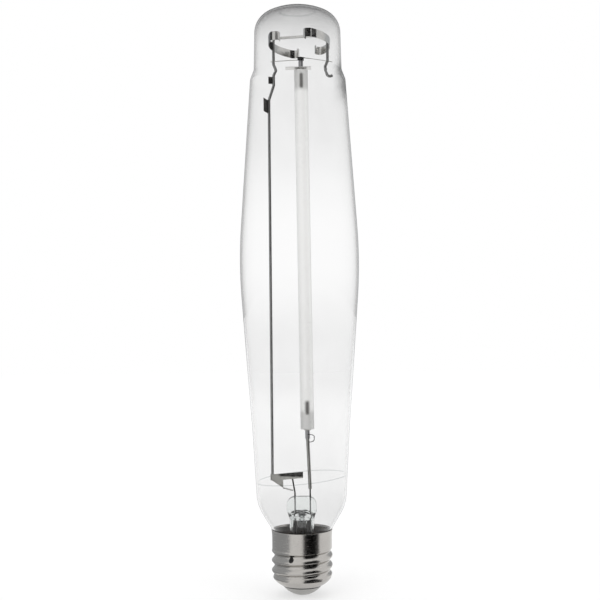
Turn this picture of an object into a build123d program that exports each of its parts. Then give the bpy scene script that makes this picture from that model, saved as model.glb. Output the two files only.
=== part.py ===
from build123d import *
from math import acos, asin, atan2, cos, degrees, hypot, radians, sin, sqrt
import os

# High pressure sodium lamp: a clear elongated bulb with its arc tube and mount,
# on a mogul screw cap. Sizes in millimetres. The origin is the tip of the centre
# contact, +Z runs up the lamp's axis and -Y is its front.

os.makedirs("parts", exist_ok=True)

# Whole lamp. Heights up to the arc tube are counted from the cap, and heights in the
# dome are counted down from the crown, so that a longer lamp keeps both of its ends.
lamp_length = 381.0
fit = 0.05                      # room between pieces that are fused, crimped or cemented

# Screw cap: a one-start rounded thread rolled into a sheet metal shell
thread_crest_dia = 39.4
thread_depth = 1.8
thread_pitch = 6.35
thread_start_angle = 338.8      # where the crest would be at the level of the tip
thread_low = 11.4
thread_length = 19.6
thread_high = thread_low + thread_length
thread_runout = 3.2
sections_per_turn = 8
shell_sheet = 0.4
collar_inset = 0.35             # of the collar, inside the crests
collar_dia = thread_crest_dia - 2 * collar_inset
lip_flare = 0.45
lip_dia = collar_dia + 2 * lip_flare
lip_drop = 5.0                  # height over which the collar opens out to its lip
collar_length = 11.4
rim_height = thread_high + collar_length
nose_inset = 5.8                # from the crests in to the mouth, around the insulator
nose_drop = 4.4
mouth_dia = thread_crest_dia - 2 * nose_inset
mouth_height = thread_low - nose_drop
nose_bulge = 0.65

# Insulator, centre contact and the solder in it
contact_inset = 1.3             # glass that shows between the contact and the shell
contact_dia = mouth_dia - 2 * contact_inset
contact_radius = contact_dia * 0.635    # radius of the domed face
contact_sheet = 0.6
contact_hole_dia = 4.4
solder_height = 1.6
solder_flat_dia = 3.4
insulator_rise = 1.6            # into the thread
insulator_top = thread_low + insulator_rise
insulator_hole_dia = 3.0

# Cement between the collar and the neck
cement_step = 0.4
cement_sink = 1.4               # below the rim
cement_bottom = thread_high + cement_step
cement_top = rim_height - cement_sink

# Outer bulb: neck, cone, knee, two straight flanks that meet in the belly, shoulder and dome
bulb_wall = 1.0
neck_room = 2.15                # around the neck, for the collar and its cement
neck_sink = 2.0                 # of the neck's end, below the collar
cone_sink = 3.5                 # of the cone's foot, below the rim
cone_length = 19.7
cone_spread = 11.65
knee_length = 16.4
knee_spread = 0.85
waist_length = 32.0
waist_spread = 1.85
neck_dia = collar_dia - 2 * neck_room
neck_bottom = thread_high - neck_sink
neck_top = rim_height - cone_sink
knee_dia = neck_dia + 2 * cone_spread
knee_height = neck_top + cone_length
lower_body_dia = knee_dia + 2 * knee_spread
lower_body_height = knee_height + knee_length
waist_dia = lower_body_dia + 2 * waist_spread
waist_height = lower_body_height + waist_length
flank_dia = 78.7                # where the flanks would meet, outside the belly
flank_share = 0.478             # the height of that place, from the waist to the shoulder
flank_taper = 8.45              # from there in to the shoulder
shoulder_dia = flank_dia - 2 * flank_taper
shoulder_drop = 47.4            # below the crown
shoulder_step = 2.45
dome_root_dia = shoulder_dia - 2 * shoulder_step
dome_root_drop = 41.2
dome_taper = 0.75
dome_dia = dome_root_dia - 2 * dome_taper
crown_radius = dome_dia * 0.85
knuckle_radius = 14.0
neck_bend = 4.0
knee_bend = 27.0
waist_bend = 400.0
belly_bend = 320.0
shoulder_bend = 5.0

# Stem: the flared tube that closes the neck, flattened around the lead wires
stem_dia = 16.0
stem_wall = 1.0
flange_land = 1.2               # flat part of the flange that the neck is fused to
press_width = 19.6
press_thickness = 5.0
stem_length = 20.0
roof_rise = 1.5                 # of the stem's hollow, above its round part
press_rise = 5.5
press_length = 9.1
press_shoulder = neck_bottom + stem_length
hollow_top = press_shoulder + roof_rise
press_bottom = press_shoulder + press_rise
press_top = press_bottom + press_length
press_corner = 6.0
blow_hole_dia = 4.0
blow_hole_rise = 2.1
blow_hole_height = hollow_top + blow_hole_rise
exhaust_dia = 6.0
exhaust_wall = 1.0
exhaust_clear = 4.0             # above the insulator
exhaust_tip = 4.0
exhaust_bottom = insulator_top + exhaust_clear

# Lead wires
lead_dia = 1.0
left_lead_x = -4.3
right_lead_x = 5.6
lead_bend = 3.0
lead_straight = 2.4             # above the press, before the left lead leans out
lead_lean_height = 11.6
lead_lean = 1.95
left_lead_knee = press_top + lead_straight
left_lead_top = left_lead_knee + lead_lean_height
left_lead_top_x = left_lead_x - lead_lean
side_weld_angle = 248.0         # seen from above, from +X
side_weld_drop = 4.2            # below the collar
side_weld_height = thread_high - side_weld_drop
side_weld_width = 3.4
side_weld_neck = 2.2
side_weld_length = 5.4
side_weld_depth = 0.9

# Arc tube, leaning a little to the right of the lamp's axis
arc_dia = 8.8
arc_wall = 0.8
arc_rise = 43.6                 # above the press
arc_drop = 40.5                 # of its upper end, below the crown
arc_bottom = press_top + arc_rise
arc_length = lamp_length - arc_bottom - arc_drop
arc_bottom_x = 4.2
arc_top_x = 2.1
plug_depth = 5.4
feed_dia = 3.0
feed_wall = 0.25
lower_feed_outside = 6.3        # length of a feedthrough past the end of the tube
upper_feed_outside = 7.6
feed_inside = 0.9               # how far it stands past the inner face of its plug
seal_dia = 5.2
seal_height = 0.8
electrode_dia = 1.0
electrode_reach = 11.0          # from the inner face of the plug to the tip
electrode_root = 1.4            # its length inside the feedthrough
winding_dia = 3.2
winding_length = 4.4
winding_tip = 0.9               # bare tip of the electrode past its winding

# Frame: one bent rod
rod_dia = 1.8
rod_bend = 2.0
left_leg_inset = 12.0           # inside the dome
right_leg_inset = 8.4
leg_jog = 3.2
left_leg_top_x = left_leg_inset - dome_dia / 2
left_leg_x = left_leg_top_x - leg_jog
left_leg_y = 4.0
right_leg_x = dome_dia / 2 - right_leg_inset
right_leg_y = -3.8
rod_foot_drop = 4.0             # below the top of the left lead
jog_drop = 50.0
jog_length = 9.5
notch_drop = 40.0
rod_bottom = left_lead_top - rod_foot_drop
jog_top = lamp_length - jog_drop
jog_bottom = jog_top - jog_length
notch_height = lamp_length - notch_drop
notch_depth = 1.6
notch_length = 7.0
frame_drop = 19.3
foot_drop = 46.6
foot_reach = 3.2
frame_top = lamp_length - frame_drop
foot_height = lamp_length - foot_drop

# Leaf springs that hold the frame in the dome
leaf_width = 5.4
leaf_sheet = 0.3
leaf_curl = 3.0
leaf_curl_turn = 190
leaf_wall_gap = 0.15
left_leaf_drop = 24.2
left_leaf_height = lamp_length - left_leaf_drop
left_leaf_front = 229
left_leaf_back = 99
right_leaf_drop = 23.2
right_leaf_height = lamp_length - right_leaf_drop
right_leaf_front = 290
right_leaf_back = 48

# Wires at the upper end of the arc tube, counted up from that end
cross_wire_dia = 0.6
cross_wire_left = 5.3           # at each leg of the frame
cross_wire_right = 3.8
cross_wire_tail = 3.0
wrap_rise = 5.1
wrap_length = 2.4
strap_length = 16.6
strap_width = 5.0
strap_sheet = 0.3
strap_shift = -1.75             # of its middle, from the arc tube's axis

# Support tube under the arc tube, and the loop that bonds it to the feedthrough
support_dia = 2.2
support_bore = 1.2
support_clear = 4.7             # above the press
support_bottom = press_top + support_clear
support_insert = 3.0
right_lead_insert = 5.7
bond_wire_dia = 0.5
bond_loop_reach = 4.2
bond_upper_drop = 3.4           # below the end of the arc tube
bond_lower_drop = 3.6           # below the middle of the support tube's insert

# Nickel bracket from the rod's foot to the left lead wire
bracket_width = 4.0
bracket_sheet = 0.4
bracket_sink = 2.0              # of its arm's middle, below the top of the left lead
bracket_height = left_lead_top - bracket_sink
bracket_arm = 21.0
bracket_rise = 2.2              # of the arm, over its length
web_length = 7.6                # part of the arm that reaches down to the tongue
web_drop = 6.6
tongue_width = 3.0
tongue_rise = 1.4               # of its end, above the knee of the lead
tongue_end_height = left_lead_knee + tongue_rise

# Getter plates, welded to the long leg of the rod
getter_sheet = 0.3
getter_edge = 0.6               # part of a plate that reaches past the middle of the rod
lower_getter_width = 8.4
lower_getter_length = 8.6
lower_getter_drop = 4.1
lower_getter_height = jog_bottom - lower_getter_drop
lower_getter_angle = 254
upper_getter_width = 3.9
upper_getter_length = 4.6
upper_getter_rise = 3.5
upper_getter_height = jog_top + upper_getter_rise
upper_getter_angle = 205


def finish(piece, name):
    """Label one piece and write its file."""
    piece.part.label = name
    export_step(piece.part, "parts/" + name + ".step")


def polar(radius, angle):
    """A point in the plan view, angle in degrees from +X."""
    return radius * cos(radians(angle)), radius * sin(radians(angle))


# Screw shell. A horizontal section through a one-start round thread is a circle
# that stands half the thread's depth off the axis and turns once per pitch.
thread_mean_radius = (thread_crest_dia - thread_depth) / 2
collar_radius = collar_dia / 2
mouth_radius = mouth_dia / 2


def thread_section(height):
    """Radius, eccentricity and direction of the shell's outside at one height."""
    from_end = min(height - thread_low, thread_high - height) / thread_runout
    share = min(1.0, from_end)
    depth_share = share * share * (3 - 2 * share)
    end_radius = collar_radius if height > (thread_low + thread_high) / 2 else thread_mean_radius
    radius = end_radius + (thread_mean_radius - end_radius) * depth_share
    angle = thread_start_angle + 360 * height / thread_pitch
    return radius, thread_depth / 2 * depth_share, angle


def thread_sections(inset):
    """Sections along the threaded length, drawn in from its outside by the inset."""
    length = thread_high - thread_low
    steps = round(sections_per_turn * length / thread_pitch)
    sections = []
    for step in range(steps + 1):
        height = thread_low + length * step / steps
        radius, eccentricity, angle = thread_section(height)
        with BuildSketch(Plane.XY.offset(height)) as section:
            with Locations(polar(eccentricity, angle)):
                Circle(radius - inset)
        sections.append(section.sketch.face())
    return sections


def shell_radius(angle, height):
    """Outside radius of the threaded length in one direction."""
    radius, eccentricity, crest_angle = thread_section(height)
    return radius + eccentricity * cos(radians(angle - crest_angle))


weld_plane = Plane(
    origin=(*polar(thread_mean_radius, side_weld_angle), side_weld_height),
    x_dir=(-sin(radians(side_weld_angle)), cos(radians(side_weld_angle)), 0),
    z_dir=(cos(radians(side_weld_angle)), sin(radians(side_weld_angle)), 0),
)


def weld_outline(clearance):
    """The keyhole in the shell where the side wire is welded, drawn in by a clearance."""
    with BuildSketch(weld_plane) as outline:
        with Locations((0, (side_weld_width - side_weld_length) / 2)):
            Circle(side_weld_width / 2 - clearance)
        with Locations((0, side_weld_length / 4 - clearance)):
            Rectangle(side_weld_neck - 2 * clearance, side_weld_length / 2)
    return outline.sketch


with BuildPart() as screw_shell:
    loft(thread_sections(0), ruled=True)
    loft(thread_sections(shell_sheet), ruled=True, mode=Mode.SUBTRACT)
    with BuildSketch(Plane.XZ):
        with BuildLine():
            collar_foot = (collar_radius, thread_high)
            lip_foot = (collar_radius, rim_height - lip_drop)
            lip = (lip_dia / 2, rim_height)
            outside = Line(collar_foot, lip_foot)
            flared = TangentArc(outside @ 1, lip, tangent=outside % 1)
            top = Line(lip, (lip_dia / 2 - shell_sheet, rim_height))
            inner_flare_foot = (collar_radius - shell_sheet, rim_height - lip_drop)
            inside = Line((collar_radius - shell_sheet, thread_high), inner_flare_foot)
            inner_flare = TangentArc(inside @ 1, top @ 1, tangent=inside % 1)
            Line(inside @ 0, outside @ 0)
        make_face()
    revolve(axis=Axis.Z)
    with BuildSketch(Plane.XZ):
        with BuildLine():
            nose_foot = (thread_mean_radius, thread_low)
            mouth = (mouth_radius, mouth_height)
            nose = SagittaArc(nose_foot, mouth, -nose_bulge)
            inner_foot = (thread_mean_radius - shell_sheet, thread_low)
            inner_mouth = (mouth_radius - shell_sheet, mouth_height + shell_sheet)
            inner_nose = SagittaArc(inner_foot, inner_mouth, -nose_bulge)
            Line(nose @ 1, inner_nose @ 1)
            Line(nose @ 0, inner_nose @ 0)
        make_face()
    revolve(axis=Axis.Z)
    extrude(weld_outline(0), amount=thread_depth, both=True, mode=Mode.SUBTRACT)
finish(screw_shell, "screw_shell")

# Weld of the side wire, flush in the keyhole of the shell
with BuildPart() as side_weld:
    loft(thread_sections(fit), ruled=True)
    loft(thread_sections(side_weld_depth), ruled=True, mode=Mode.SUBTRACT)
    extrude(weld_outline(fit), amount=thread_depth, both=True, mode=Mode.INTERSECT)
finish(side_weld, "side_weld")

# Centre contact: a domed disc with a hole for its lead wire
contact_rim_radius = contact_dia / 2
rim_rise = contact_radius - sqrt(contact_radius**2 - contact_rim_radius**2)
inner_dome_radius = contact_radius - contact_sheet

with BuildPart() as centre_contact:
    with Locations((0, 0, contact_radius)):
        Sphere(contact_radius)
        Sphere(inner_dome_radius, mode=Mode.SUBTRACT)
    with BuildSketch():
        Circle(contact_rim_radius)
    extrude(amount=rim_rise, mode=Mode.INTERSECT)
    with BuildSketch():
        Circle(contact_hole_dia / 2)
    extrude(amount=rim_rise, mode=Mode.SUBTRACT)
finish(centre_contact, "centre_contact")

# Solder that fills the hole of the contact around the end of the lead wire
solder_radius = contact_hole_dia / 2 - fit

with BuildPart() as contact_solder:
    with BuildSketch(Plane.XZ):
        with BuildLine():
            edge_height = contact_radius - sqrt(contact_radius**2 - solder_radius**2)
            flat = Line((0, 0), (solder_flat_dia / 2, 0))
            low = Line(flat @ 1, (solder_radius, edge_height + fit))
            side = Line(low @ 1, (solder_radius, solder_height - solder_radius / 3))
            crown = ThreePointArc(
                side @ 1, (solder_radius * 0.6, solder_height - solder_radius / 9), (0, solder_height)
            )
            Line(crown @ 1, flat @ 0)
        make_face()
    revolve(axis=Axis.Z)
    with BuildSketch(Plane.XY.offset(solder_height / 3)):
        Circle(lead_dia / 2 + fit)
    extrude(amount=solder_height, mode=Mode.SUBTRACT)
finish(contact_solder, "contact_solder")

# Insulator: glass run into the nose of the shell, behind the contact
with BuildPart() as insulator:
    with BuildSketch(Plane.XZ):
        with BuildLine():
            shell_inside = thread_mean_radius - shell_sheet - fit
            mouth_inside = mouth_radius - shell_sheet - fit
            nose_top = (shell_inside, thread_low)
            nose_end = (mouth_inside, mouth_height + shell_sheet)
            top_edge = Line((0, insulator_top), (shell_inside - thread_depth / 2, insulator_top))
            wall = Line(top_edge @ 1, nose_top)
            nose = SagittaArc(wall @ 1, nose_end, -nose_bulge)
            ring = Line(nose @ 1, (contact_rim_radius, rim_rise + fit))
            step = Line(ring @ 1, (inner_dome_radius * 0.75, rim_rise + fit))
            Line(step @ 1, (0, rim_rise + fit))
            Line((0, rim_rise + fit), top_edge @ 0)
        make_face()
    revolve(axis=Axis.Z)
    with Locations((0, 0, insulator_top)):
        Hole(insulator_hole_dia / 2)
finish(insulator, "insulator")

# Outer bulb: the outline of the glass, given its wall and turned
neck_radius = neck_dia / 2
shoulder_height = lamp_length - shoulder_drop
dome_root_height = lamp_length - dome_root_drop
crown_centre = lamp_length - crown_radius
dome_edge = crown_centre + sqrt(crown_radius**2 - (dome_dia / 2) ** 2)
flank_height = waist_height + flank_share * (shoulder_height - waist_height)
bulb_corners = [
    (neck_radius, neck_top),
    (knee_dia / 2, knee_height),
    (lower_body_dia / 2, lower_body_height),
    (waist_dia / 2, waist_height),
    (flank_dia / 2, flank_height),
    (shoulder_dia / 2, shoulder_height),
    (dome_root_dia / 2, dome_root_height),
    (dome_dia / 2, dome_edge),
]
bulb_bends = [
    neck_bend, knee_bend, waist_bend, waist_bend, belly_bend,
    shoulder_bend, shoulder_bend, knuckle_radius,
]

with BuildSketch() as bulb_section:
    with BuildLine():
        outline = Polyline((neck_radius, neck_bottom), *bulb_corners)
        crown = RadiusArc(outline @ 1, (0, lamp_length), -crown_radius)
        Polyline(crown @ 1, (0, neck_bottom), outline @ 0)
    make_face()
    for corner, bend in zip(bulb_corners, bulb_bends):
        fillet(bulb_section.vertices().sort_by_distance(corner)[0], bend)
axis_edge = bulb_section.edges().sort_by(Axis.X)[0]
neck_edge = bulb_section.edges().sort_by(Axis.Y)[0]
glass_edges = [edge for edge in bulb_section.edges() if edge not in (axis_edge, neck_edge)]

with BuildPart() as outer_bulb:
    with BuildSketch(Plane.XZ):
        with BuildLine():
            add(Wire(glass_edges))
            offset(amount=bulb_wall, side=Side.LEFT, closed=True)
        make_face()
    revolve(axis=Axis.Z)
finish(outer_bulb, "outer_bulb")

# Cement that holds the neck in the collar of the shell
cone_slope = (knee_dia / 2 - neck_radius) / (knee_height - neck_top)

with BuildPart() as basing_cement:
    with BuildSketch(Plane.XZ):
        with BuildLine():
            Polyline(
                (neck_radius + fit, cement_bottom),
                (neck_radius + fit, neck_top - neck_bend / 2),
                (neck_radius + cone_slope * (cement_top - neck_top) + 2 * fit, cement_top),
                (collar_radius - shell_sheet - fit, cement_top),
                (collar_radius - shell_sheet - fit, cement_bottom),
                close=True,
            )
        make_face()
    revolve(axis=Axis.Z)
finish(basing_cement, "basing_cement")

# Stem: flared tube, with its upper end pressed flat around the two lead wires
stem_radius = stem_dia / 2
flare_bend = neck_radius - stem_radius - flange_land
hollow_radius = stem_radius - stem_wall
flare_top = neck_bottom + flare_bend
flange_under = neck_bottom - stem_wall
flare_reach = stem_radius + flare_bend

with BuildPart() as stem_tube:
    with BuildSketch(Plane.XZ):
        with BuildLine():
            outer_wall = Line((stem_radius, press_shoulder), (stem_radius, flare_top))
            outer_flare = JernArc(outer_wall @ 1, (0, -1), flare_bend, 90)
            flange_top = Line(outer_flare @ 1, (neck_radius, neck_bottom))
            flange_edge = Line(flange_top @ 1, (neck_radius, flange_under))
            flange_below = Line(flange_edge @ 1, (flare_reach, flange_under))
            inner_flare = JernArc(flange_below @ 1, (-1, 0), flare_bend + stem_wall, -90)
            inner_wall = Line(inner_flare @ 1, (hollow_radius, press_shoulder))
            Line(inner_wall @ 1, outer_wall @ 0)
        make_face()
    revolve(axis=Axis.Z)
    with BuildSketch(Plane.XY.offset(press_shoulder)):
        Circle(stem_radius)
    with BuildSketch(Plane.XY.offset(press_bottom)):
        SlotOverall(press_width, press_thickness)
    loft(ruled=True)
    with BuildSketch(Plane.XY.offset(press_bottom)):
        SlotOverall(press_width, press_thickness)
    extrude(amount=press_top - press_bottom)
    with BuildSketch(Plane.XZ) as corners:
        for side in (-1, 1):
            with Locations((side * (press_width - press_corner) / 2, press_top - press_corner / 2)):
                Rectangle(press_corner, press_corner)
            with Locations((side * (press_width / 2 - press_corner), press_top - press_corner)):
                Circle(press_corner, mode=Mode.SUBTRACT)
    extrude(amount=press_thickness, both=True, mode=Mode.SUBTRACT)
    with BuildSketch(Plane.XY.offset(press_shoulder)):
        Circle(hollow_radius)
    with BuildSketch(Plane.XY.offset(hollow_top)):
        Ellipse(hollow_radius, exhaust_dia * 0.6)
    loft(ruled=True, mode=Mode.SUBTRACT)
    with BuildSketch(Plane.XY.offset(hollow_top)):
        Circle(blow_hole_dia / 2)
    extrude(amount=blow_hole_height - hollow_top, mode=Mode.SUBTRACT)
    with BuildSketch(Plane.XZ):
        with Locations((0, blow_hole_height)):
            Circle(blow_hole_dia / 2)
    extrude(amount=stem_radius, mode=Mode.SUBTRACT)
    with BuildSketch(Plane.XY.offset(press_shoulder)):
        with Locations((left_lead_x, 0), (right_lead_x, 0)):
            Circle(lead_dia / 2 + fit)
    extrude(amount=press_top - press_shoulder, mode=Mode.SUBTRACT)
finish(stem_tube, "stem_tube")

# Exhaust tube, fused to the roof of the stem's hollow and drawn shut at its tip
exhaust_radius = exhaust_dia / 2
exhaust_bore_radius = exhaust_radius - exhaust_wall

with BuildPart() as exhaust_tube:
    with BuildSketch(Plane.XZ) as tube_profile:
        with BuildLine():
            Polyline(
                (exhaust_bore_radius, hollow_top),
                (exhaust_radius, hollow_top),
                (exhaust_radius, exhaust_bottom + exhaust_tip),
                (exhaust_wall, exhaust_bottom),
                (0, exhaust_bottom),
                (0, exhaust_bottom + exhaust_tip / 2),
                (exhaust_bore_radius, exhaust_bottom + exhaust_tip),
                close=True,
            )
        make_face()
    revolve(axis=Axis.Z)
    fillet(exhaust_tube.faces().sort_by(Axis.Z)[0].edges(), exhaust_wall / 2)
finish(exhaust_tube, "exhaust_tube")

# Arc tube, its axis set out from its lower end
arc_bottom_point = Vector(arc_bottom_x, 0, arc_bottom)
arc_axis = Vector(arc_top_x - arc_bottom_x, 0, arc_length).normalized()
arc_top_point = arc_bottom_point + arc_axis * arc_length
lower_end = Plane(origin=arc_bottom_point, z_dir=arc_axis)
upper_end = Plane(origin=arc_top_point, z_dir=-arc_axis)

with BuildPart() as arc_tube:
    with BuildSketch(lower_end):
        Circle(arc_dia / 2)
        Circle(arc_dia / 2 - arc_wall, mode=Mode.SUBTRACT)
    extrude(amount=arc_length)
finish(arc_tube, "arc_tube")

# Both ends of the arc tube, each seen from its own end plane, which points inward
for end_name, end_plane, feed_length in (
    ("lower", lower_end, lower_feed_outside),
    ("upper", upper_end, upper_feed_outside),
):
    feed_top = plug_depth + feed_inside
    with BuildPart() as end_plug:
        with BuildSketch(end_plane):
            Circle(arc_dia / 2 - arc_wall - fit)
            Circle(feed_dia / 2 + fit, mode=Mode.SUBTRACT)
        extrude(amount=plug_depth)
    finish(end_plug, end_name + "_end_plug")

    with BuildPart() as feedthrough:
        with BuildSketch(end_plane.offset(-feed_length)):
            Circle(feed_dia / 2)
        extrude(amount=feed_length + feed_top)
        with BuildSketch(end_plane.offset(-feed_length)):
            Circle(feed_dia / 2 - feed_wall)
        extrude(amount=feed_length + feed_top - electrode_root, mode=Mode.SUBTRACT)
        with BuildSketch(end_plane.offset(feed_top - electrode_root)):
            Circle(electrode_dia / 2 + fit)
        extrude(amount=electrode_root, mode=Mode.SUBTRACT)
    finish(feedthrough, end_name + "_niobium_tube")

    with BuildPart() as seal_ring:
        with BuildSketch(end_plane):
            Circle(seal_dia / 2)
        extrude(amount=-seal_height, taper=30)
        with BuildSketch(end_plane):
            Circle(feed_dia / 2 + fit)
        extrude(amount=-seal_height, mode=Mode.SUBTRACT)
    finish(seal_ring, end_name + "_seal_ring")

    with BuildPart() as electrode:
        with BuildSketch(end_plane.offset(feed_top - electrode_root)):
            Circle(electrode_dia / 2)
        extrude(amount=electrode_root - feed_inside + electrode_reach)
        tip_face = electrode.faces().sort_by(Axis(arc_bottom_point, end_plane.z_dir))[-1]
        chamfer(tip_face.edges(), electrode_dia / 5)
    finish(electrode, end_name + "_electrode")

    # The winding is a sleeve here, with its wire's rounding at both ends
    winding_wire = (winding_dia - electrode_dia) / 2
    with BuildPart() as winding:
        with BuildSketch(end_plane.offset(plug_depth + electrode_reach - winding_tip - winding_length)):
            Circle(winding_dia / 2)
            Circle(electrode_dia / 2 + fit, mode=Mode.SUBTRACT)
        extrude(amount=winding_length)
        rims = winding.edges().filter_by(GeomType.CIRCLE).group_by(SortBy.RADIUS)[-1]
        fillet(rims, winding_wire / 2)
    finish(winding, end_name + "_electrode_coil")

# Frame: one rod, from its foot up the long leg, across the dome and down the short leg
notch_half = notch_length / 2
frame_points = [
    (left_leg_x, left_leg_y, rod_bottom),
    (left_leg_x, left_leg_y, jog_bottom),
    (left_leg_top_x, left_leg_y, jog_top),
    (left_leg_top_x, left_leg_y, notch_height - notch_half),
    (left_leg_top_x + notch_depth, left_leg_y, notch_height),
    (left_leg_top_x, left_leg_y, notch_height + notch_half),
    (left_leg_top_x, left_leg_y, frame_top),
    (right_leg_x, right_leg_y, frame_top),
    (right_leg_x, right_leg_y, notch_height + notch_half),
    (right_leg_x - notch_depth, right_leg_y, notch_height),
    (right_leg_x, right_leg_y, foot_height),
    (right_leg_x + foot_reach, right_leg_y, foot_height + foot_reach / 3),
]

with BuildPart() as frame_rod:
    with BuildLine() as frame_path:
        FilletPolyline(*frame_points, radius=rod_bend)
    with BuildSketch(Plane(origin=frame_path.line @ 0, z_dir=frame_path.line % 0)):
        Circle(rod_dia / 2)
    sweep()
finish(frame_rod, "frame_rod")

# Lead wires: the left one to the side of the shell, the right one to the contact
side_end = polar(
    shell_radius(side_weld_angle, side_weld_height) - side_weld_depth - 4 * fit, side_weld_angle
)

with BuildPart() as left_lead_wire:
    with BuildLine() as left_lead_path:
        FilletPolyline(
            (left_lead_top_x, 0, left_lead_top),
            (left_lead_x, 0, left_lead_knee),
            (left_lead_x, 0, flange_under - lead_bend),
            (*side_end, side_weld_height),
            radius=lead_bend,
        )
    with BuildSketch(Plane(origin=left_lead_path.line @ 0, z_dir=left_lead_path.line % 0)):
        Circle(lead_dia / 2)
    sweep()
finish(left_lead_wire, "left_lead_wire")

feed_end = arc_bottom_point - arc_axis * (lower_feed_outside - support_insert / 2)
support_foot = Vector(right_lead_x, 0, support_bottom)
support_axis = (feed_end - support_foot).normalized()

with BuildPart() as right_lead_wire:
    with BuildLine() as right_lead_path:
        FilletPolyline(
            support_foot + support_axis * (right_lead_insert),
            support_foot,
            (right_lead_x, 0, exhaust_bottom + lead_bend / 2),
            (0, 0, insulator_top + lead_dia),
            (0, 0, solder_height * 0.6),
            radius=lead_bend,
        )
    with BuildSketch(Plane(origin=right_lead_path.line @ 0, z_dir=right_lead_path.line % 0)):
        Circle(lead_dia / 2)
    sweep()
finish(right_lead_wire, "right_lead_wire")

# Support tube between the right lead wire and the lower feedthrough
support_length = (feed_end - support_foot).length + support_insert / 2

with BuildPart() as support_tube:
    with BuildSketch(Plane(origin=support_foot, z_dir=support_axis)):
        Circle(support_dia / 2)
        Circle(support_bore / 2, mode=Mode.SUBTRACT)
    extrude(amount=support_length)
finish(support_tube, "support_tube")

# Bonding loop: a wire from the lower feedthrough, out and round to the support tube
loop_upper = arc_bottom_point - arc_axis * bond_upper_drop
loop_lower = feed_end - support_axis * bond_lower_drop
loop_offset = bond_wire_dia / 2 + fit
loop_middle = (loop_upper + loop_lower) / 2
loop_outer = loop_middle + Vector(bond_loop_reach, 0, 0)

with BuildPart() as bonding_loop:
    with BuildLine() as loop_path:
        upper_side = loop_upper + Vector(0, -feed_dia / 2 - loop_offset, 0)
        lower_side = loop_lower + Vector(0, -support_dia / 2 - loop_offset, 0)
        Spline(
            upper_side,
            loop_outer + Vector(0, -loop_offset, 0),
            lower_side,
            tangents=(Vector(1, 0, 0), Vector(-1, 0, 0)),
        )
    with BuildSketch(Plane(origin=loop_path.line @ 0, z_dir=loop_path.line % 0)):
        Circle(bond_wire_dia / 2)
    sweep()
finish(bonding_loop, "bonding_loop")


# Leaf springs: bowed strips whose curled ends press on the glass of the dome
leaf_contact_radius = dome_dia / 2 - bulb_wall - leaf_wall_gap - leaf_sheet / 2


def bow_points(front_angle, back_angle, leg_x, leg_y, front_room, back_room):
    """Both ends of a leaf's bow, drawn in to leave room for its curls, and its middle."""
    leg = Vector(leg_x, leg_y)
    return (
        Vector(*polar(leaf_contact_radius - front_room, front_angle)),
        leg + leg.normalized() * (rod_dia / 2 + fit + leaf_sheet / 2),
        Vector(*polar(leaf_contact_radius - back_room, back_angle)),
    )


def curl_room(point, tangent):
    """How far a curl that starts at a point of the bow goes on outwards."""
    outward = tangent.normalized().dot(point.normalized())
    return leaf_curl * (1 - sqrt(1 - outward**2))


for leaf_name, leaf_height, front_angle, back_angle, leg_x, leg_y, turn in (
    ("left", left_leaf_height, left_leaf_front, left_leaf_back, left_leg_top_x, left_leg_y, -1),
    ("right", right_leaf_height, right_leaf_front, right_leaf_back, right_leg_x, right_leg_y, 1),
):
    leaf = (front_angle, back_angle, leg_x, leg_y)
    first_bow = ThreePointArc(*bow_points(*leaf, 0, 0))
    front_room = curl_room(first_bow @ 0, -(first_bow % 0))
    back_room = curl_room(first_bow @ 1, first_bow % 1)
    with BuildPart() as leaf_spring:
        with BuildSketch(Plane.XY.offset(leaf_height - leaf_width / 2)):
            with BuildLine():
                bow = ThreePointArc(*bow_points(*leaf, front_room, back_room))
                JernArc(bow @ 0, -(bow % 0), leaf_curl, -turn * leaf_curl_turn)
                JernArc(bow @ 1, bow % 1, leaf_curl, turn * leaf_curl_turn)
            trace(line_width=leaf_sheet)
        extrude(amount=leaf_width)
    finish(leaf_spring, leaf_name + "_leaf_spring")

# Bracket: a nickel strip wrapped on the foot of the rod, its arm passing in front of the
# left lead wire, and its tongue bent back and welded to that wire
bracket_gap = fit + bracket_sheet / 2
wrap_radius = rod_dia / 2 + bracket_gap
lead_front = Vector(left_lead_top_x, -lead_dia / 2 - bracket_gap)
leg_centre = Vector(left_leg_x, left_leg_y)
to_leg = leg_centre - lead_front
arm_angle = degrees(atan2(to_leg.Y, to_leg.X)) + degrees(asin(wrap_radius / to_leg.length))
arm_run = sqrt(to_leg.length**2 - wrap_radius**2)
arm_start = lead_front + Vector(*polar(arm_run, arm_angle))
arm_plane = Plane(
    origin=(arm_start.X, arm_start.Y, bracket_height),
    x_dir=(*polar(-1, arm_angle), 0),
    z_dir=(*polar(1, arm_angle + 90), 0),
)
web_end = arm_plane.from_local_coords((web_length, 0, 0))
tongue_start = Vector(web_end.X, web_end.Y, bracket_height - web_drop)
lead_at_tongue = left_lead_x - lead_lean * tongue_rise / lead_lean_height
tongue_end = Vector(lead_at_tongue - lead_dia / 2 - fit - bracket_sheet, 0, tongue_end_height)
tongue_run = tongue_end - tongue_start
tongue_plane = Plane(origin=tongue_start, x_dir=tongue_run, z_dir=tongue_run.cross(Vector(0, 1, 0)))

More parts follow.
